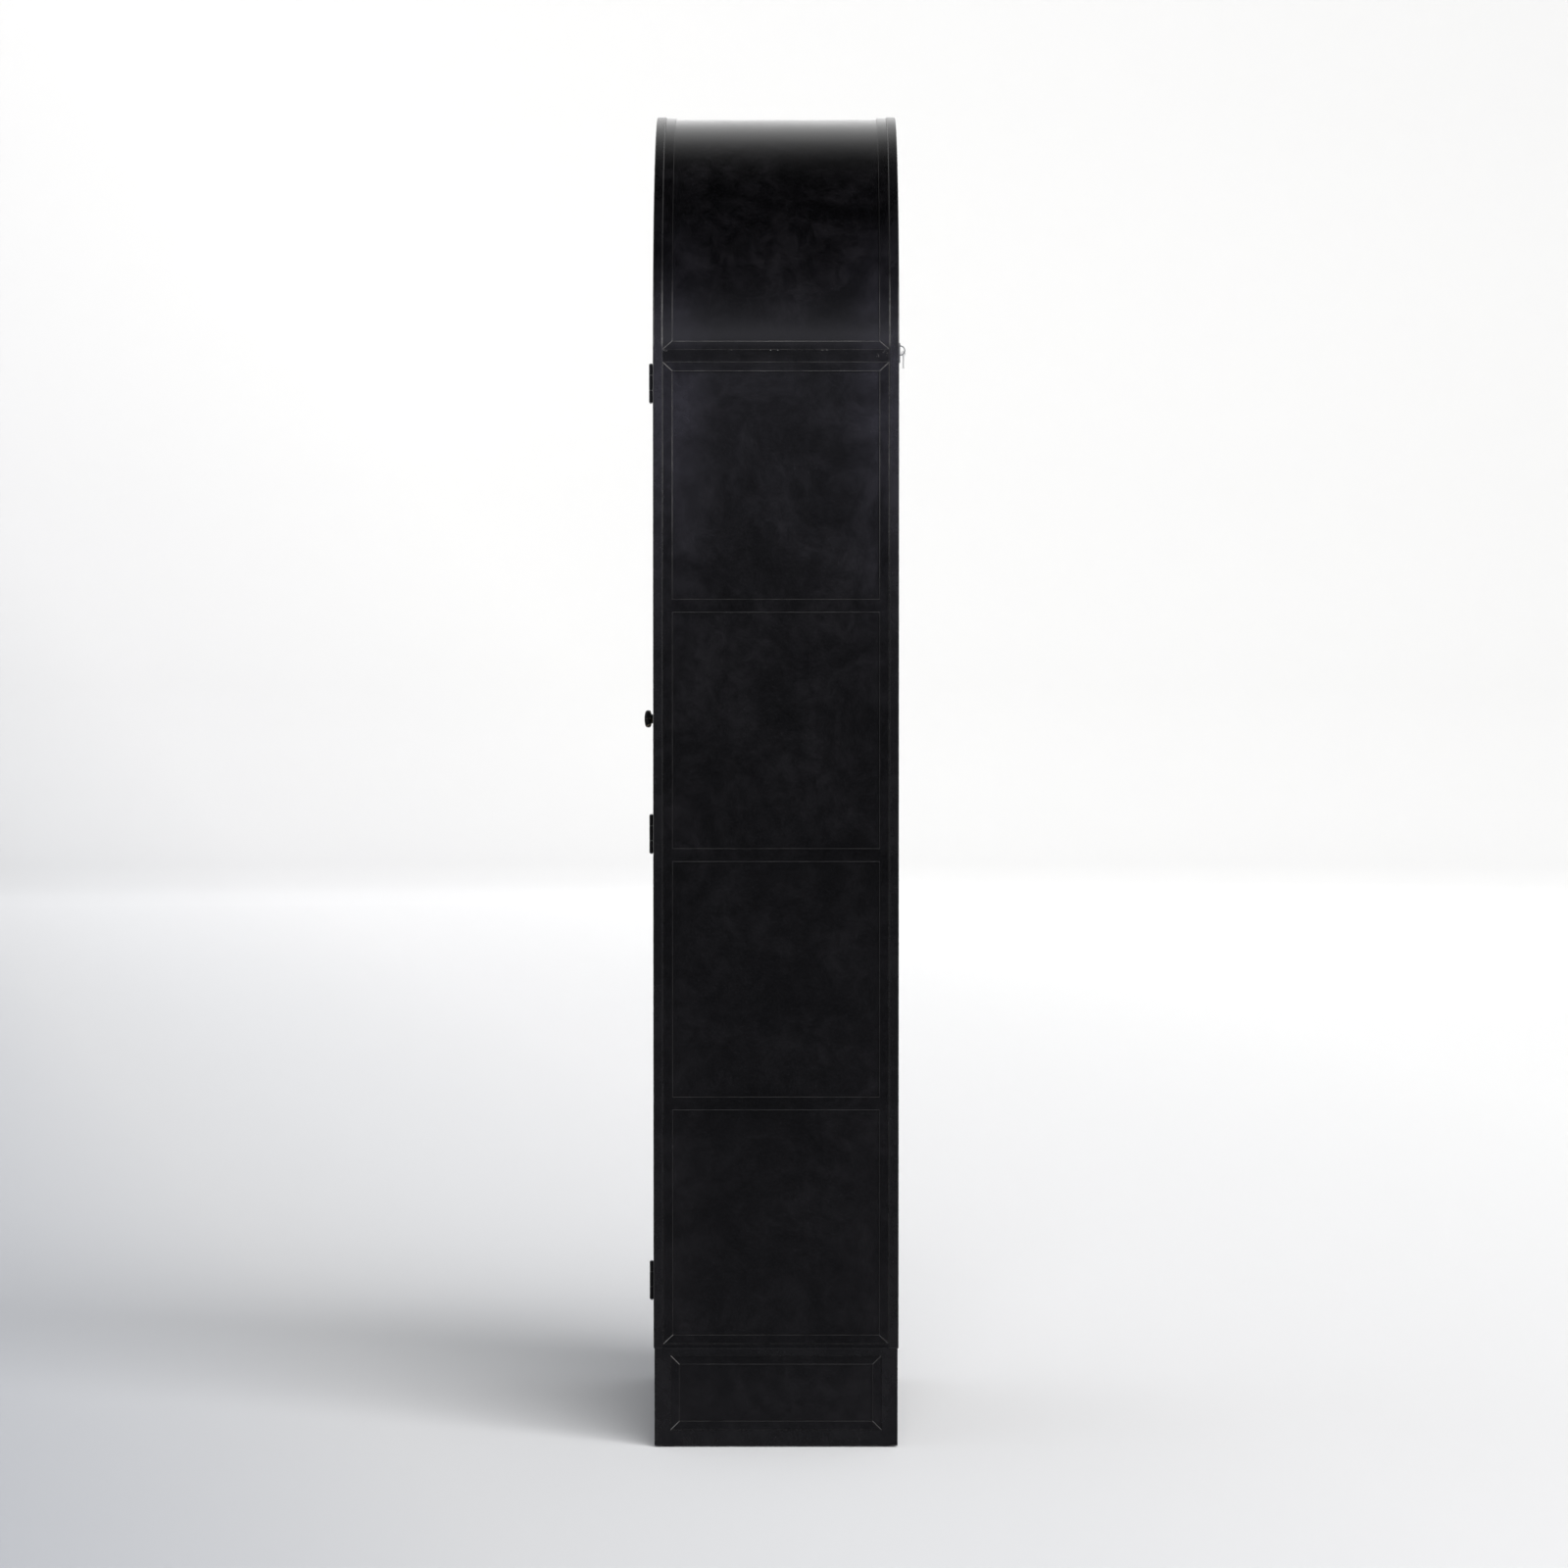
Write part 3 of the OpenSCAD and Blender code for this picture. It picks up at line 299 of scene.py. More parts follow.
def iron(name, tone=1.0, gloss=0.25, sheen=1.0, worn=0.0, shine=1.0):
    """Blackened, waxed iron, clouded in patches. A painted sheen lightens it towards the front and rear edges
    of the case at shoulder height and by the floor, and over the upper case. worn from 0 to 1 lets bare metal
    through, as on edges, and shine scales the painted highlight on it below the shoulder."""
    look = Look(name)
    clouds = look.noise(8.0, 9.0, 0.66, warp=0.9)
    mottle = look.noise(34.0, 6.0, 0.7, warp=0.5)
    grain = look.noise(1.0, 4.0, 0.6, vector=look.stretched(130.0, 620.0, 210.0))
    place = look.node("SeparateXYZ", Vector=look.here).node
    height = look.maths("DIVIDE", place.outputs["Z"], CAD_BOX[1].z)
    # Cloudy patches in the wax; the height ramp over them is painted sheen, lighter near the floor and on the
    # upper case.
    bloom_and_sheen = look.times(look.ramp(clouds, (0.40, 0.08), (0.62, 1.0)),
                       look.ramp(mottle, (0.40, 0.05), (0.60, 1.0)),
                       look.ramp(height, (0.0, 0.6), (0.12, 0.45), (0.40, 0.55), (0.62, 1.0)))
    # Painted sheen: lighter towards the front and rear edges of the sides, most at shoulder height and a
    # little by the floor, in patches.
    depth = look.maths("ABSOLUTE", place.outputs["Y"])
    edge = look.node("MapRange", properties={"interpolation_type": "SMOOTHSTEP"},
                     Value=depth, i1=0.09, i2=0.19, i3=0.2)
    where = look.ramp(height, (0.0, 0.14), (0.10, 0.10), (0.28, 0.08), (0.45, 0.0), (0.60, 0.10),
                      (0.72, 0.66), (0.80, 0.9), (0.86, 0.35), (0.92, 0.02))
    patches = look.maths("ADD", clouds, look.times(mottle, 0.25))
    painted_sheen = look.times(edge, where, look.ramp(patches, (0.42, 0.15), (0.76, 1.0)))
    dark = tuple(tone * c for c in (0.0006, 0.0006, 0.0007))
    hazy = tuple(tone * c for c in (0.0040, 0.0037, 0.0044))
    # tint is the colour of the painted sheen, lighter and bluer towards the top.
    tint = look.ramp(height, (0.0, (0.0215, 0.0190, 0.0215)), (0.5, (0.0210, 0.0200, 0.0240)),
                     (0.8, (0.0230, 0.0222, 0.0310)))
    colour = look.mix(bloom_and_sheen, dark, hazy)
    colour = look.mix(look.times(painted_sheen, sheen), colour, tint)
    colour = look.mix(look.times(look.ramp(grain, (0.45, 0.0), (0.75, 1.0)), 0.3), colour,
                      (0.010, 0.010, 0.012))
    cells = look.node("TexVoronoi", Vector=look.here, Scale=48.0)
    dust = look.times(look.ramp(cells, (0.0, 1.0), (0.035, 0.0)),
                      look.ramp(mottle, (0.56, 0.0), (0.68, 1.0)), 0.7)
    colour = look.mix(dust, colour, (0.11, 0.108, 0.10))
    # Bare metal on worn edges, made brighter by a painted highlight.
    if worn:
        bare = look.ramp(look.noise(26.0, 5.0, 0.65, warp=0.5), (0.34, 0.25 * worn), (0.66, 0.9 * worn))
        colour = look.mix(bare, colour, look.mix(edge_highlight(look, height, shine), BARE_DARK, BARE_BRIGHT))
        look.set("Metallic", look.times(bare, 0.4))
    # A pale dashed line 4 to 6 mm above the floor.
    pale_low_dashes = look.times(look.ramp(height, (0.0018, 0.0), (0.0020, 1.0), (0.0024, 1.0), (0.0026, 0.0)),
                         look.ramp(look.noise(9.0, 3.0, 0.6), (0.46, 0.0), (0.54, 1.0)))
    look.set("Base Color", look.mix(pale_low_dashes, colour, (0.30, 0.295, 0.29)))
    rough = look.maths("ADD", look.times(clouds, 0.14), look.times(mottle, 0.10))
    look.set("Roughness", look.maths("ADD", rough, gloss - 0.12))
    relief = look.bump(look.noise(5.0, 2.0, 0.5), 0.002, 0.2)
    look.set("Normal", look.bump(look.noise(500.0, 3.0, 0.6), 0.00004, 0.3, relief))
    return look.material


def edge_highlight(look, height, shine):
    """Painted highlight on bare edges, standing in for light they catch: brightest at the springing of the
    arch, and below it where they face down.
    """
    bright = look.ramp(height, (0.60, 0.012 * shine), (0.72, 0.03 * shine), (0.8175, 0.02 * shine),
                       (0.8190, 0.02), (0.8205, 0.30), (0.85, 0.18), (0.875, 0.015))
    facing = look.node("SeparateXYZ", Vector=look.node("NewGeometry", output=1)).node.outputs["Z"]
    facing = look.node("MapRange", Value=facing, i1=-1.0, i2=1.0)
    under = look.ramp(facing, (0.25, 1.0), (0.42, 0.3), (0.58, 0.3), (0.75, 0.5))
    shoulder = look.ramp(height, (0.60, 0.0), (0.72, 1.0))
    return look.times(bright, look.maths("MAXIMUM", under, shoulder))


def brass(name, tint=(0.74, 0.53, 0.23), roughness=0.24, tarnish=0.35, centre=None):
    """Lacquered brass with tarnish in clouds; centre (x, z) gives it turning marks round a Y axis."""
    look = Look(name, metallic=1.0)
    clouds = look.noise(24.0, 5.0, 0.6, warp=0.6)
    old = look.ramp(clouds, (0.5, 0.0), (0.78, tarnish))
    brown = tuple(c * f for c, f in zip(tint, (0.42, 0.34, 0.28)))
    look.set("Base Color", look.mix(old, tint, brown))
    fine = look.noise(1.0, 3.0, 0.6, vector=look.stretched(900.0, 60.0, 60.0))
    if centre:
        fine = look.node("TexNoise", properties={"noise_dimensions": "1D"}, W=look.radius(centre),
                         Scale=1700.0, Detail=3.0)
    look.set("Roughness", look.maths("ADD", look.times(look.noise(50.0), 0.18), roughness - 0.09))
    look.set("Normal", look.bump(fine, 0.00004, 0.35))
    return look.material


def steel(name, tint=(0.56, 0.57, 0.58), roughness=0.3):
    """Plain steel or zinc: a cloudy grey with fine scratches."""
    look = Look(name, metallic=1.0)
    spangle = look.node("TexVoronoi", output="Color", Vector=look.here, Scale=240.0)
    dull = tuple(c * 0.72 for c in tint)
    look.set("Base Color", look.ramp(look.node("SeparateColor", Color=spangle), (0.0, dull), (1.0, tint)))
    look.set("Roughness", look.maths("ADD", look.times(look.noise(90.0, 4.0), 0.25), roughness - 0.1))
    scratches = look.noise(1.0, 3.0, 0.6, vector=look.stretched(300.0, 300.0, 1800.0))
    look.set("Normal", look.bump(scratches, 0.00003, 0.4))
    return look.material


def filed(name):
    """Steel filed bright in places and blackened elsewhere."""
    look = Look(name, metallic=0.35, roughness=0.4)
    bright = look.ramp(look.noise(3.1, 2.0, 0.5), (0.46, 0.02), (0.58, 0.26))
    marks = look.noise(1.0, 3.0, 0.6, vector=look.stretched(900.0, 300.0, 300.0))
    bare = look.mix(bright, (0.015, 0.015, 0.016), BARE_BRIGHT)
    look.set("Base Color", look.mix(look.ramp(marks, (0.3, 0.35), (0.6, 1.0)), (0.03, 0.03, 0.032), bare))
    look.set("Normal", look.bump(marks, 0.00004, 0.5))
    return look.material


def cast(name):
    """Cast iron, blackened, with bronze showing where hands have worn it."""
    look = Look(name, Specular_IOR_Level=0.12)
    rub = look.noise(95.0, 4.0, 0.6, warp=0.4)
    bare = look.ramp(rub, (0.56, 0.0), (0.68, 0.8))
    look.set("Base Color", look.mix(bare, (0.006, 0.006, 0.007), (0.36, 0.30, 0.20)))
    look.set("Metallic", bare)
    look.set("Roughness", look.ramp(rub, (0.4, 0.55), (0.7, 0.34)))
    look.set("Normal", look.bump(look.noise(500.0, 4.0, 0.65), 0.00012, 0.6))
    return look.material


def glass(name):
    """Clear sheet glass with the faint draw of old panes. Lamps shine through it."""
    look = Look(name, roughness=0.0, Transmission_Weight=1.0, IOR=1.5, Base_Color=(0.975, 0.99, 0.98))
    wave = look.noise(1.0, 2.0, 0.5, vector=look.stretched(3.0, 3.0, 1.2))
    look.set("Normal", look.bump(wave, 0.002, 0.12))
    smear = look.noise(14.0, 4.0, 0.6, warp=0.8)
    look.set("Roughness", look.ramp(smear, (0.5, 0.0), (0.8, 0.035)))
    clear = look.node("BsdfTransparent", Color=(0.93, 0.96, 0.945))
    lamp = look.node("LightPath", output="Is Shadow Ray")
    both = look.tree.nodes.new("ShaderNodeMixShader")
    feed(look.tree, both.inputs[0], lamp)
    feed(look.tree, both.inputs[1], look.shader.outputs[0])
    feed(look.tree, both.inputs[2], clear)
    out = look.tree.nodes["Material Output"]
    feed(look.tree, out.inputs["Surface"], both.outputs[0])
    return look.material


def oak(name):
    """Dark stained oak, its grain along X."""
    look = Look(name, roughness=0.5)
    along = look.stretched(2.2, 26.0, 26.0)
    rings = look.node("TexWave", properties={"bands_direction": "Z"}, Vector=along, Scale=1.3,
                      Distortion=5.0, Detail=4.0, Detail_Scale=1.6)
    pores = look.noise(1.0, 5.0, 0.7, vector=look.stretched(26.0, 900.0, 900.0))
    colour = look.ramp(rings, (0.0, (0.085, 0.043, 0.018)), (0.6, (0.16, 0.085, 0.036)),
                       (1.0, (0.21, 0.12, 0.055)))
    look.set("Base Color", look.mix(look.ramp(pores, (0.55, 0.0), (0.68, 0.7)), colour, (0.03, 0.015, 0.008)))
    look.set("Roughness", look.ramp(pores, (0.3, 0.42), (0.8, 0.62)))
    look.set("Normal", look.bump(pores, 0.0003, 0.5))
    return look.material


def paint(name, low, high, roughness, grain, depth):
    """An even finish, such as enamel or moulded plastic, with a mottle and a fine grain."""
    look = Look(name)
    mottle = look.noise(18.0, 4.0, 0.6)
    look.set("Base Color", look.ramp(mottle, (0.3, low), (0.75, high)))
    look.set("Roughness", look.ramp(mottle, (0.2, roughness - 0.06), (0.8, roughness + 0.08)))
    look.set("Normal", look.bump(look.noise(grain, 3.0, 0.6), depth, 0.5))
    return look.material


def silvered(name, centre):
    """Silvered brass, brushed in circles round centre (x, z), yellowed in patches."""
    look = Look(name, metallic=0.85)
    grain = look.node("TexNoise", properties={"noise_dimensions": "1D"}, W=look.radius(centre),
                      Scale=1300.0, Detail=4.0)
    age = look.ramp(look.noise(11.0, 5.0, 0.65, warp=0.8), (0.45, 0.0), (0.75, 0.6))
    look.set("Base Color", look.mix(age, (0.78, 0.77, 0.73), (0.62, 0.55, 0.41)))
    look.set("Roughness", look.maths("ADD", look.times(grain, 0.2), 0.3))
    look.set("Normal", look.bump(grain, 0.00004, 0.5))
    return look.material


# ---- the stage ----
def lamp(name, kind, energy, colour, place, aim, **settings):
    light = bpy.data.lights.new(name, kind)
    light.energy = energy
    light.color = colour
    for key, value in settings.items():
        setattr(light, key, value)
    obj = bpy.data.objects.new(name, light)
    bpy.context.scene.collection.objects.link(obj)
    obj.location = place
    obj.rotation_euler = (Vector(aim) - Vector(place)).to_track_quat("-Z", "Y").to_euler()
    return obj


def studio_floor():
    """A seamless white floor whose rim curves up into a wall; its colour is painted shade, graded darker
    towards the near left and dimmer up the wall.
    """
    flat, curve, wall, steps = 15.0, 9.0, 16.0, 128
    profile = [(r, 0.0) for r in (0.0, 1.0, 3.0, 6.0, 10.0, flat)]
    profile += [(flat + curve * math.sin(a), curve * (1 - math.cos(a)))
                for a in (math.radians(3.0 * k) for k in range(1, 31))]
    profile.append((flat + curve, wall))
    shape = bmesh.new()
    turned(shape, profile, Matrix(), steps)
    smooth(shape, 60)
    mesh = bpy.data.meshes.new("studio_floor")
    shape.to_mesh(mesh)
    shape.free()
    floor = bpy.data.objects.new("studio_floor", mesh)
    bpy.context.scene.collection.objects.link(floor)
    look = Look("studio_paper", roughness=0.9, Specular_IOR_Level=0.0)
    # Painted shade and light: the floor colour darkens towards the near left, and the wall dims as it rises.
    lighter_way = (-0.04, 0.21, 0.13)
    shade = look.maths("ADD", look.vector_maths("DOT_PRODUCT", look.here, lighter_way, output=1), 0.33)
    floor_shade_colour = look.ramp(shade, (0.0, (0.47, 0.485, 0.52)), (0.19, (0.655, 0.66, 0.675)),
                      (0.30, (0.715, 0.72, 0.735)), (0.50, (0.80, 0.80, 0.81)), (1.0, (0.885, 0.885, 0.885)))
    rise = look.node("SeparateXYZ", Vector=look.here).node.outputs["Z"]
    dim = look.ramp(look.times(rise, 0.25), (0.0, 1.0), (0.01, 0.88), (0.025, 0.815), (0.10, 0.775),
                    (0.215, 0.728), (0.465, 0.70), (1.0, 0.68))
    multiply = {"data_type": "RGBA", "blend_type": "MULTIPLY"}
    look.set("Base Color", look.node("Mix", 2, multiply, i0=1.0, i6=floor_shade_colour, i7=dim))
    mesh.materials.append(look.material)
    floor.visible_glossy = False
    floor.visible_transmission = True
    floor.visible_shadow = False


def studio_world():
    """An even fill for the floor, and for reflections a dark room with a pale band round its horizon."""
    world = bpy.data.worlds.new("studio")
    bpy.context.scene.world = world
    world.use_nodes = True
    tree = world.node_tree
    tree.nodes.clear()

    def add(kind, properties=None, **inputs):
        made = tree.nodes.new("ShaderNode" + kind)
        for key, value in (properties or {}).items():
            setattr(made, key, value)
        for key, value in inputs.items():
            feed(tree, made.inputs[int(key[1:]) if key[1:].isdigit() else key], value)
        return made

    def ramp(fac, *stops):
        made = add("ValToRGB", Fac=fac)
        points = made.color_ramp.elements
        while len(points) < len(stops):
            points.new(0.5)
        for point, (place, grey) in zip(points, stops):
            point.position = place
            point.color = (grey, grey, grey, 1)
        return made.outputs["Color"]

    ways = add("SeparateXYZ", Vector=add("TexCoord").outputs["Generated"])

    def share(axis):
        return add("MapRange", Value=ways.outputs[axis], i1=-1.0, i2=1.0).outputs["Result"]

    height = share("Z")
    strip = ramp(height, (0.0, 0.5), (0.32, 0.5), (0.43, 0.09), (0.47, 0.035), (0.520, 0.045),
                 (0.537, 0.14), (0.555, 0.82), (0.58, 0.78), (0.62, 0.36), (0.66, 0.24), (0.70, 0.16),
                 (0.74, 0.07), (0.78, 0.02), (0.84, 0.0))
    room = ramp(height, (0.38, 0.25), (0.48, 0.8), (0.60, 1.0), (0.72, 0.5), (0.86, 0.05))
    wall = ramp(height, (0.45, 0.3), (0.5, 1.0), (0.69, 1.0), (0.757, 0.86), (0.815, 0.69), (0.86, 0.56),
                (0.894, 0.43), (0.919, 0.28), (0.957, 0.11), (0.981, 0.03))

    def blend(fac, a, b):
        return add("Mix", {"data_type": "RGBA"}, i0=fac, i6=a, i7=b).outputs[2]

    def scaled(grey, colour):
        multiply = {"data_type": "RGBA", "blend_type": "MULTIPLY"}
        return add("Mix", multiply, i0=1.0, i6=grey, i7=colour).outputs[2]

    near = scaled(strip, (1.0, 1.0, 1.12))
    front = scaled(room, (0.55, 0.56, 0.58))
    back = scaled(wall, (1.45, 1.45, 1.45))
    mirror = blend(ramp(share("Y"), (0.10, 1.0), (0.36, 0.0)), near, front)
    mirror = blend(ramp(share("X"), (0.36, 1.0), (0.5, 0.0)), mirror, back)
    reflected = add("Background", Color=mirror, Strength=1.0)
    fill = add("Background", Color=(0.95, 0.975, 1.0), Strength=0.40)
    glossy = add("LightPath").outputs["Is Glossy Ray"]
    both = add("MixShader", i0=glossy, i1=fill.outputs[0], i2=reflected.outputs[0])
    feed(tree, add("OutputWorld").inputs["Surface"], both.outputs[0])


def studio():
    studio_floor()
    studio_world()
    key = lamp("key", "SUN", 4.05, (1.0, 0.99, 0.975), (6.5, 3.1, 4.6), (0.0, 0.0, 0.0),
               angle=math.radians(60))
    key.visible_glossy = False
    lamp("soft_box", "AREA", 45.0, (1.0, 1.0, 1.0), (4.5, 4.2, 2.6), (0.0, 0.0, 1.4),
         shape="RECTANGLE", size=1.6, size_y=2.4)


def camera():
    """A long lens on the side of the case, 1.43 m above the floor and tipped down by two degrees."""
    lens = bpy.data.cameras.new("camera")
    lens.lens = 130.7
    lens.sensor_width = 36.0
    lens.clip_end = 200.0
    obj = bpy.data.objects.new("camera", lens)
    bpy.context.scene.collection.objects.link(obj)
    obj.location = (CAD_BOX[1].x + 9.252, 0.013, 1.430)
    obj.rotation_euler = (math.radians(90 - 2.14), 0.0, math.radians(90))
    bpy.context.scene.camera = obj


# ---- finishes on the CAD nodes ----
# The iron copies differ in painted light: the rail is a darker copy, painted shade, and the edge looks carry
# a painted highlight on their bare metal.
TUBE = iron("blackened_iron_tube", tone=0.85, gloss=0.27, sheen=0.85)
TUBE_EDGE = iron("blackened_iron_tube_edge", tone=1.0, gloss=0.28, worn=0.5, shine=0.6)
RAIL = iron("blackened_iron_rail", tone=0.8, gloss=0.19, sheen=0.25)
BAR = iron("blackened_iron_bar", gloss=0.19, sheen=0.6)
BAR_EDGE = iron("blackened_iron_bar_edge", tone=1.3, gloss=0.24, worn=1.0, shine=6.0)
SHEET = iron("blackened_iron_sheet", tone=1.1, gloss=0.20)

for name in ("front_frame", "rear_frame"):
    rounded(name, 2.0 * MM, TUBE, TUBE_EDGE, 3)
rounded("side_rails", 1.0 * MM, RAIL, TUBE_EDGE)
for name in ("plinth_frame", "door_frame", "door_muntins"):
    rounded(name, 1.0 * MM, TUBE, TUBE_EDGE)
for name in ("plinth_strips", "side_strips"):
    rounded(name, 0.8 * MM, BAR, BAR_EDGE)
for name in ("arch_strips", "glazing_beads", "seat_angles", "hinge_case_leaves", "hinge_door_leaves"):
    rounded(name, 0.5 * MM, BAR, BAR_EDGE)
for name in ("plinth_panels", "side_panel_right", "side_panel_left", "arch_skin", "back_panel", "floor_pan"):
    carried(name, SHEET)

DIAL = (0.0, (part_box("chapter_ring")[0].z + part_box("chapter_ring")[1].z) / 2)
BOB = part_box("pendulum_bob")
carried("glides", paint("nylon_black", (0.012, 0.012, 0.012), (0.03, 0.03, 0.03), 0.55, 900.0, 0.0001))
PLASTIC = paint("plastic_black", (0.01, 0.01, 0.01), (0.02, 0.02, 0.021), 0.45, 1200.0, 0.0001)
carried("catch_magnet", PLASTIC)
carried("door_glass", glass("clear_glass_pane"))
carried("seatboard", oak("stained_oak"))
carried("dial_plate", paint("dial_enamel", (0.008, 0.008, 0.009), (0.016, 0.016, 0.019), 0.42, 1500.0,
                            0.00006))
carried("chapter_ring", silvered("silvered_brass", DIAL))
WAX = paint("numeral_wax", (0.006, 0.006, 0.006), (0.018, 0.017, 0.016), 0.4, 1600.0, 0.00006)
carried("dial_numerals", WAX)
MOVEMENT = brass("movement_brass_plate")
for name in ("movement_front_plate", "movement_back_plate", "plate_pillars", "pendulum_cock",
             "time_great_wheel", "centre_wheel", "third_wheel", "escape_wheel", "cannon_pinion",
             "minute_wheel", "hour_wheel", "strike_great_wheel", "pin_wheel", "strike_fly", "bell"):
    carried(name, MOVEMENT)
HANDS = brass("hand_brass_gilt", (0.80, 0.58, 0.26), 0.2, 0.2)
for name in ("minute_hand", "hour_hand", "seconds_hand", "hand_nut"):
    carried(name, HANDS)
for name in ("pendulum_rod", "time_weight", "strike_weight", "time_sheave", "strike_sheave"):
    carried(name, brass("polished_" + name, (0.78, 0.56, 0.25), 0.2, 0.3))
carried("pendulum_bob", brass("turned_bob", (0.78, 0.56, 0.25), 0.2, 0.3, (0.0, (BOB[0].z + BOB[1].z) / 2)))
ZINC = steel("zinc_steel_cloudy")
for name in ("tether_eyes", "hinge_pins", "movement_nuts", "bell_stand", "time_cable", "strike_cable"):
    carried(name, ZINC)
for name in ("pallet_anchor", "strike_hammer"):
    carried(name, steel("polished_steel_" + name, (0.62, 0.62, 0.63), 0.18))


# ---- details that the CAD leaves out ----
random.seed(11)
FILED = filed("filed_steel_seam")
HALF_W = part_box("front_frame")[1].x
HALF_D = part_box("rear_frame")[1].y
SPRING = DIAL[1]


def mitres(shape, x, half_y, low, high, across, up):
    """Adds bright filed lines along the four mitres of a rectangle of bars on both sides of the case."""
    slope = math.atan2(up, across)
    length = math.hypot(across, up)
    for side in (-1, 1):
        for end in (-1, 1):
            for z, rise in ((low, 1), (high, -1)):
                corner = Matrix.Translation((side * x, end * half_y, z))
                turn = corner @ Matrix.Rotation(-end * rise * slope, 4, "X")
                block(shape, (-0.6 * MM, min(0, -end * length), -0.25 * MM),
                      (0.1 * MM, max(0, -end * length), 0.25 * MM), turn)


seams = bmesh.new()
inner = HALF_D - 16.0 * MM
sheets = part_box("side_panel_right")
mitres(seams, HALF_W - 1.5 * MM, inner, sheets[0].z, sheets[1].z, 16.0 * MM, 15.0 * MM)
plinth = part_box("plinth_panels")
mitres(seams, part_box("plinth_strips")[1].x, HALF_D - 27.5 * MM, plinth[0].z, plinth[1].z,
       15.0 * MM, 15.0 * MM)
for side in (-1, 1):
    for end in (-1, 1):
        foot = Vector((side * (HALF_W - 1.45 * MM), end * inner, SPRING + 0.5 * MM))
        wire(seams, [foot, foot + Vector((-side * 0.25 * MM, -end * 16.0 * MM, 14.0 * MM))], 0.35 * MM)
piece("mitre_seams", seams, FILED, "case", "blackened_iron")

welds = bmesh.new()
for side in (-1, 1):
    for centre, count, spread in ((-74.0, 2, 6.0), (-3.0, 3, 10.0), (80.0, 3, 9.0), (172.0, 12, 9.0),
                                  (-178.0, 4, 4.0)):
        for k in range(count):
            y = (centre + random.uniform(-spread, spread)) * MM
            z = SPRING - random.uniform(0.5, 2.5 if count < 12 else 12.0) * MM
            size = random.uniform(0.45, 0.95) * MM
            blob(welds, side * (HALF_W - 0.1 * MM), y, z, (0.5 * MM, size, size * 0.7))
piece("weld_spots", welds, FILED, "case", "blackened_iron")

tails = bmesh.new()
for side in (-1, 1):
    ring = Vector((side * (HALF_W - 6.0 * MM), HALF_D + 6.5 * MM, 1.788))
    loop = [ring + Vector((0.0, 3.2 * MM * math.sin(a), 3.2 * MM * math.cos(a) - 5.0 * MM))
            for a in (math.radians(20 * k) for k in range(19))]
    wire(tails, loop, 0.45 * MM)
    for phase in (0.0, math.pi):
        twist = [ring + Vector((1.1 * MM * math.cos(0.9 * k + phase), 1.1 * MM * math.sin(0.9 * k + phase),
                                -8.2 * MM - 1.3 * MM * k)) for k in range(17)]
        wire(tails, twist, 0.4 * MM)
piece("tether_wire", tails, ZINC, "case", slot_of("tether_eyes"))

screws = bmesh.new()
# Black bars across the screw heads paint the shade in their slots.
slot_shade = bmesh.new()
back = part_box("back_panel")[1].y
row = HALF_W - 29.0 * MM
spots = [(side * row, 0.22 + 0.157 * k) for side in (-1, 1) for k in range(10)]
arch = [math.radians(15 * k) for k in range(1, 12)]
spots += [(row * math.cos(a), SPRING + row * math.sin(a)) for a in arch]
spots += [(0.12 * k, 0.192) for k in range(-2, 3)]
head = [(5.5, 0.0), (5.5, 0.4), (4.0, 0.4), (3.9, 1.6), (3.0, 2.3), (1.4, 2.6), (0.0, 2.65)]
for x, z in spots:
    place = Matrix.Translation((x, back, z)) @ Matrix.Rotation(math.radians(-90), 4, "X")
    turned(screws, [(r * MM, h * MM) for r, h in head], place, 20)
    spin = place @ Matrix.Rotation(random.uniform(0, 3.14), 4, "Z")
    block(slot_shade, (-3.4 * MM, -0.45 * MM, 1.9 * MM), (3.4 * MM, 0.45 * MM, 2.7 * MM), spin)
smooth(screws)
piece("back_screws", screws, ZINC, "case", slot_of("tether_eyes"))
piece("back_screw_slot_shade", slot_shade, PLASTIC, "case", slot_of("catch_magnet"))

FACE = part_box("dial_plate")[0].y
trim = bmesh.new()
ticks = bmesh.new()
seconds = (0.0, SPRING + 60.0 * MM)
washer(trim, 0.0, FACE, seconds[1], 27.0 * MM, 46.0 * MM, 1.0 * MM)
piece("seconds_ring", trim, silvered("silvered_seconds", seconds), "case", slot_of("chapter_ring"))
for k in range(60):
    long = 5.5 if k % 5 == 0 else 3.0
    turn = Matrix.Translation((0.0, FACE, seconds[1])) @ Matrix.Rotation(math.radians(6 * k), 4, "Y")
    block(ticks, (-0.3 * MM, -1.35 * MM, (44.5 - long) * MM), (0.3 * MM, -0.9 * MM, 44.5 * MM), turn)
for r in (28.5, 44.9):
    washer(ticks, 0.0, FACE - 0.95 * MM, seconds[1], r * MM, (r + 0.4) * MM, 0.4 * MM)
for r in (218.0, 221.0, 283.6, 297.0):
    washer(ticks, 0.0, FACE - 1.95 * MM, SPRING, r * MM, (r + 0.8) * MM, 0.5 * MM, 256)
piece("dial_lines", ticks, WAX, "case", slot_of("dial_numerals"))

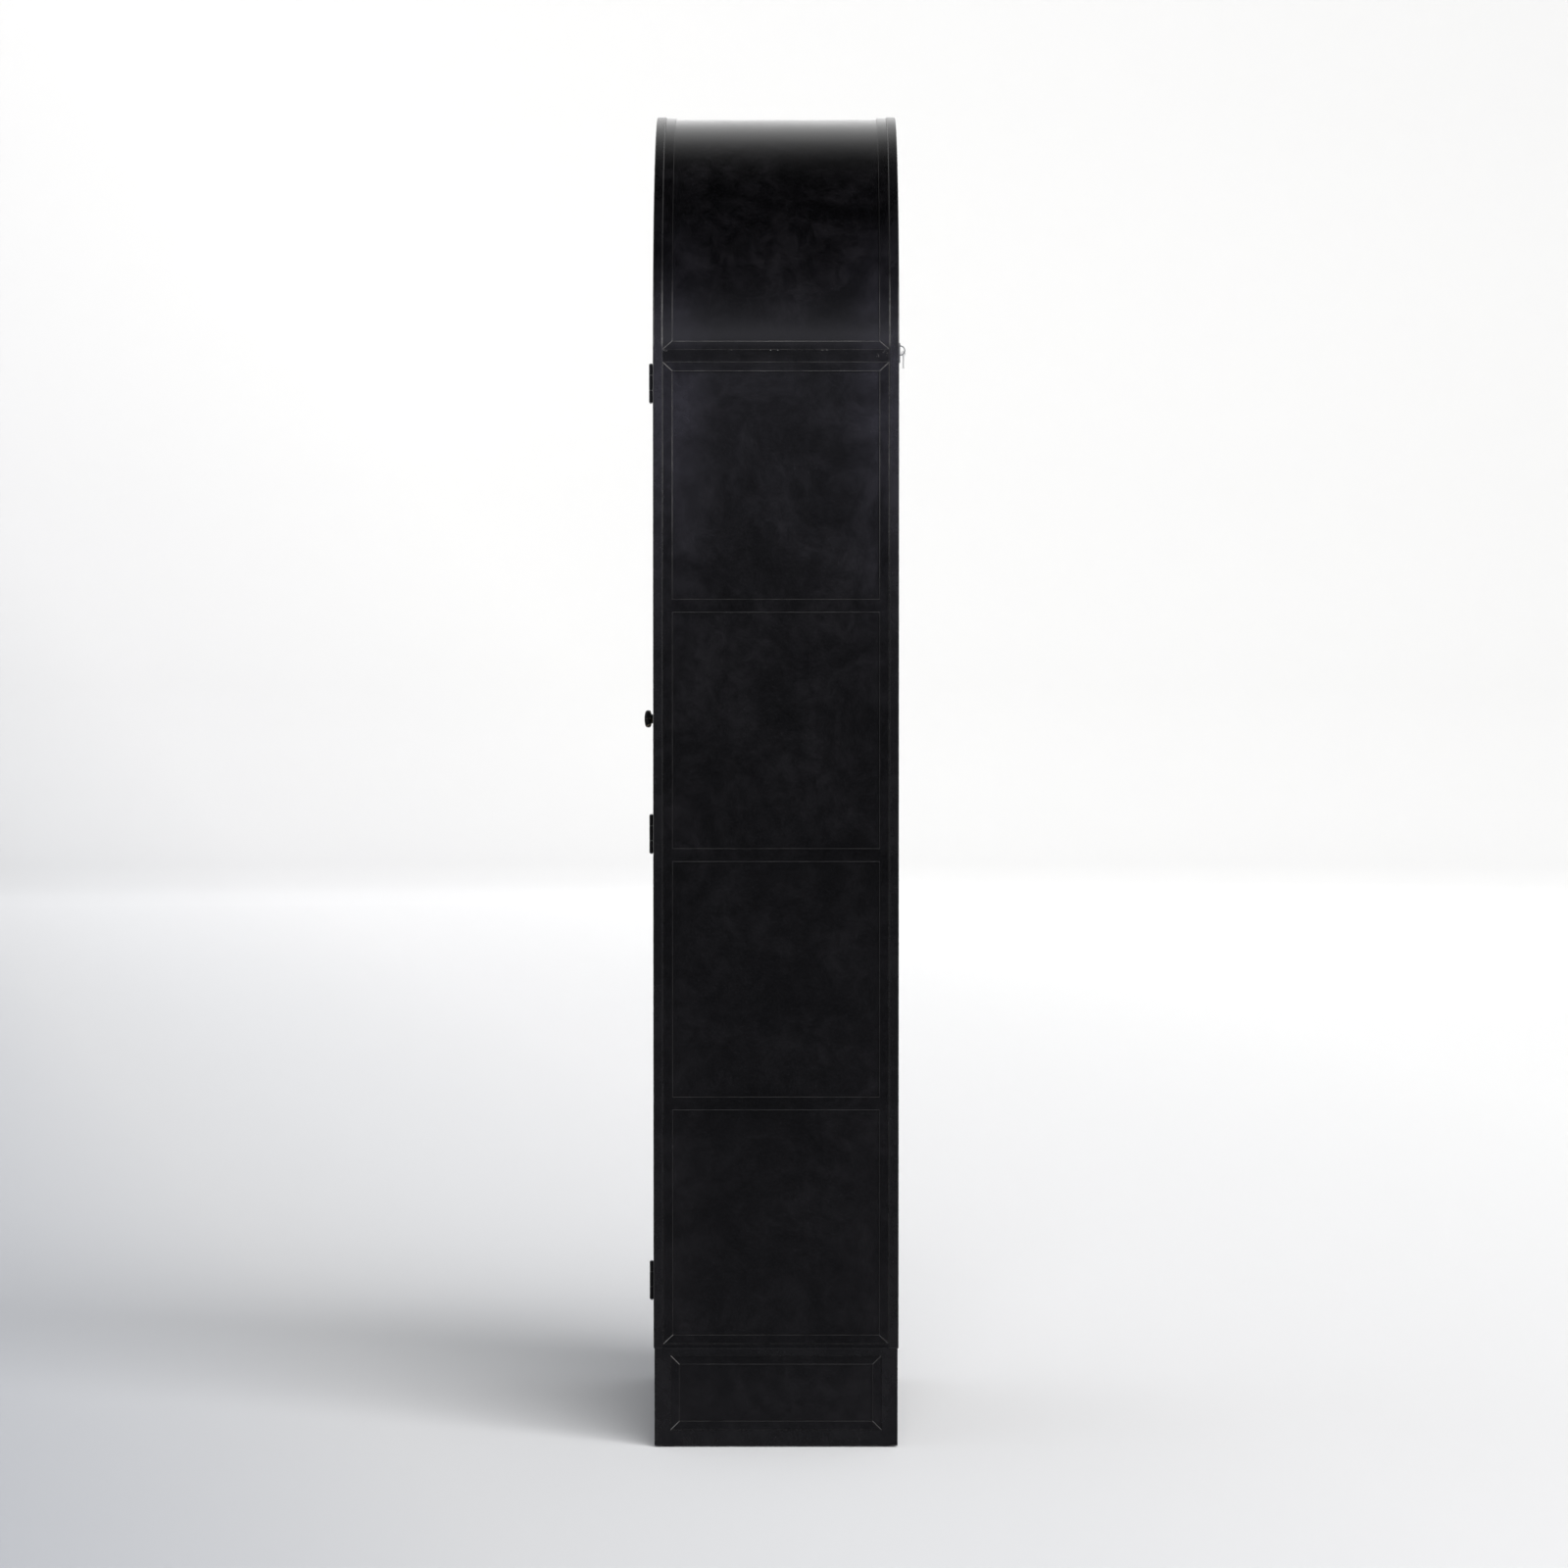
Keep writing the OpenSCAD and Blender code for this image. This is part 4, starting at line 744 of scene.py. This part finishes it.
gilt = bmesh.new()
for r, width in ((301.5, 3.0), (207.0, 2.0), (46.8, 1.6)):
    z = seconds[1] if r < 100 else SPRING
    washer(gilt, 0.0, FACE, z, r * MM, (r + width) * MM, 2.4 * MM if r > 100 else 1.6 * MM, 256)
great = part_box("time_great_wheel")
WINDING = ((great[0].x + great[1].x) / 2, (great[0].z + great[1].z) / 2)
collet = [(9.2, 0.0), (14.0, 0.0), (13.4, 1.2), (11.0, 2.2), (9.2, 2.2), (9.2, 0.0)]
for side in (-1, 1):
    place = facing_front(side * WINDING[0], FACE, WINDING[1])
    turned(gilt, [(r * MM, h * MM) for r, h in collet], place)
stud = [(3.4, 0.0), (3.4, 0.7), (2.2, 1.6), (0.0, 1.9)]
for k in range(4):
    a = math.radians(45 + 90 * k)
    place = facing_front(0.2575 * math.cos(a), FACE - 2.0 * MM, SPRING + 0.2575 * math.sin(a))
    turned(gilt, [(r * MM, h * MM) for r, h in stud], place, 24)
smooth(gilt)
piece("dial_trim", gilt, HANDS, "case", slot_of("chapter_ring"))

border = bmesh.new()
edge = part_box("dial_plate")[1].x - 12.0 * MM
for gap in (0.0, 5.0 * MM):
    r = edge - gap
    y = FACE - 0.2 * MM
    angles = [math.pi * k / 96 for k in range(97)]
    arc = [Vector((r * math.cos(a), y, SPRING + r * math.sin(a))) for a in angles]
    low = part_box("dial_plate")[0].z + 12.0 * MM + gap
    wire(border, [Vector((r, y, low)), *arc, Vector((-r, y, low))], 0.7 * MM)
    wire(border, [Vector((-r, y, low)), Vector((r, y, low))], 0.7 * MM)
piece("dial_border", border, HANDS, "case", slot_of("chapter_ring"))


def bead(radius, out):
    """The section of a raised bead round a cylinder."""
    skirt = (radius - 1.0 * MM, 1.6 * MM)
    flank = (radius + 0.3 * out * MM, 1.3 * MM)
    return [(skirt[0], -skirt[1]), (flank[0], -flank[1]), (radius + out * MM, 0.0), flank, skirt,
            (skirt[0], -skirt[1])]


LAY = 0.42 * MM         # from the middle of a cable to the middle of each of its three wires
STRAND = 0.45 * MM      # radius of such a wire


def straight_strand(x, y, low, high, phase):
    """The points of one wire of a cable that hangs from high to low."""
    steps = int((high - low) / (1.5 * MM))
    points = []
    for k in range(steps + 1):
        z = low + (high - low) * k / steps
        turn = phase + z / (12.0 * MM) * 2 * math.pi
        points.append(Vector((x + LAY * math.cos(turn), y + LAY * math.sin(turn), z)))
    return points


def bent_strand(x, y, z, radius, phase):
    """The points of one wire of a cable where it passes under a sheave."""
    points = []
    for k in range(61):
        a = math.pi + math.pi * k / 60
        turn = phase + k * 0.66
        r = radius + LAY * math.cos(turn)
        points.append(Vector((x + r * math.cos(a), y + LAY * math.sin(turn), z + r * math.sin(a))))
    return points


def wound_strand(side, x, y, z, radius, turns, phase):
    """The points of one wire of a cable wound on a drum or a post, whose axis runs along Y."""
    points = []
    count = int(turns * 40)
    for k in range(count + 1):
        a = 2 * math.pi * turns * k / count
        turn = phase + k * 0.9
        r = radius + LAY * math.cos(turn)
        along = 2.1 * MM * turns * k / count + LAY * math.sin(turn)
        points.append(Vector((x + side * r * math.cos(a), y + along, z + r * math.sin(a))))
    return points


def weight_and_cable(side, train):
    """Beads on a weight, and its cable as three twisted wires, from its drum round the sheave to its post."""
    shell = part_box(train + "_weight")
    x = (shell[0].x + shell[1].x) / 2
    y = (shell[0].y + shell[1].y) / 2
    radius = (shell[1].x - shell[0].x) / 2
    beads = bmesh.new()
    foot = shell[0].z
    top = shell[0].z + 0.225
    for z, out in ((foot + 9.0 * MM, 1.2), (foot + 14.0 * MM, 0.7), (top - 4.0 * MM, 1.2),
                   (top - 9.0 * MM, 0.7), (top - 0.106, 0.5), (top - 0.110, 0.5)):
        turned(beads, bead(radius, out), Matrix.Translation((x, y, z)), 96)
    smooth(beads)
    body = body_of(train + "_weight")
    piece(train + "_weight_beads", beads, HANDS, body, slot_of(train + "_weight"))
    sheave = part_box(train + "_sheave")
    axle = (sheave[0].z + sheave[1].z) / 2
    run = 24.0 * MM
    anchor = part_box(train + "_cable")[1].z
    drum = side * WINDING[0]
    post = drum + side * 69.0 * MM
    strands = bmesh.new()
    bend = bmesh.new()
    ends = bmesh.new()
    for lay in range(3):
        phase = 2 * math.pi * lay / 3
        wire(strands, straight_strand(x - side * run, y, axle, anchor, phase), STRAND, 5)
        wire(strands, straight_strand(x + side * run, y, axle, anchor - 3.5 * MM, phase), STRAND, 5)
        wire(bend, bent_strand(x, y, axle, run, phase), STRAND, 5)
        wire(ends, wound_strand(side, drum, y, WINDING[1], 20.9 * MM, 3, phase), STRAND, 5)
        wire(ends, wound_strand(side, post, y, WINDING[1], 4.4 * MM, 2, phase), STRAND, 5)
    smooth(strands, 60)
    obj = piece(train + "_cable_strands", strands, ZINC, "case", slot_of(train + "_cable"), train + "_cable")
    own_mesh(obj)
    piece(train + "_cable_bend", bend, ZINC, body, slot_of(train + "_cable"))
    piece(train + "_cable_ends", ends, ZINC, "case", slot_of(train + "_cable"))


weight_and_cable(1, "time")
weight_and_cable(-1, "strike")

rim = bmesh.new()
radius = (BOB[1].x - BOB[0].x) / 2
lens = facing_front(0.0, (BOB[0].y + BOB[1].y) / 2, BOB[1].z - radius)
hoop = [(-3.5, -1.8), (0.2, -2.6), (1.6, 0.0), (0.2, 2.6), (-3.5, 1.8), (-3.5, -1.8)]
turned(rim, [(radius + r * MM, h * MM) for r, h in hoop], lens, 128)
turned(rim, [(26.0 * MM, 16.4 * MM), (28.0 * MM, 17.2 * MM), (30.0 * MM, 16.0 * MM)], lens, 96)
smooth(rim)
piece("bob_rim", rim, HANDS, body_of("pendulum_bob"), slot_of("pendulum_bob"))

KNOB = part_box("door_knob")
knob = bmesh.new()
shank = facing_front((KNOB[0].x + KNOB[1].x) / 2, -HALF_D, (KNOB[0].z + KNOB[1].z) / 2)
rose = [(0.0, 0.0), (11.0, 0.0), (11.0, 2.2), (10.2, 3.0), (8.6, 3.3)]
neck = [(6.6, 6.0), (5.6, 9.5), (6.2, 13.0), (7.4, 16.0), (7.8, 19.0), (8.8, 20.6)]
bun = [(12.2, 21.1), (14.3, 22.4), (15.2, 24.6), (15.3, 27.0), (14.5, 29.4), (12.2, 31.3), (8.4, 32.4),
       (4.0, 32.9), (0.0, 33.0)]
turned(knob, [(r * MM, h * MM) for r, h in rose + neck + bun], shank, 64)
nut = [(0.0, -20.5), (3.6, -20.4), (4.9, -19.8), (5.0, -18.0), (0.0, -18.0)]
turned(knob, [(r * MM, h * MM) for r, h in nut], shank, 32)
smooth(knob, 40)
piece("turned_knob", knob, cast("cast_knob"), body_of("door_knob"), slot_of("door_knob"), "door_knob")

studio()
camera()
bpy.context.scene.view_settings.view_transform = "Standard"
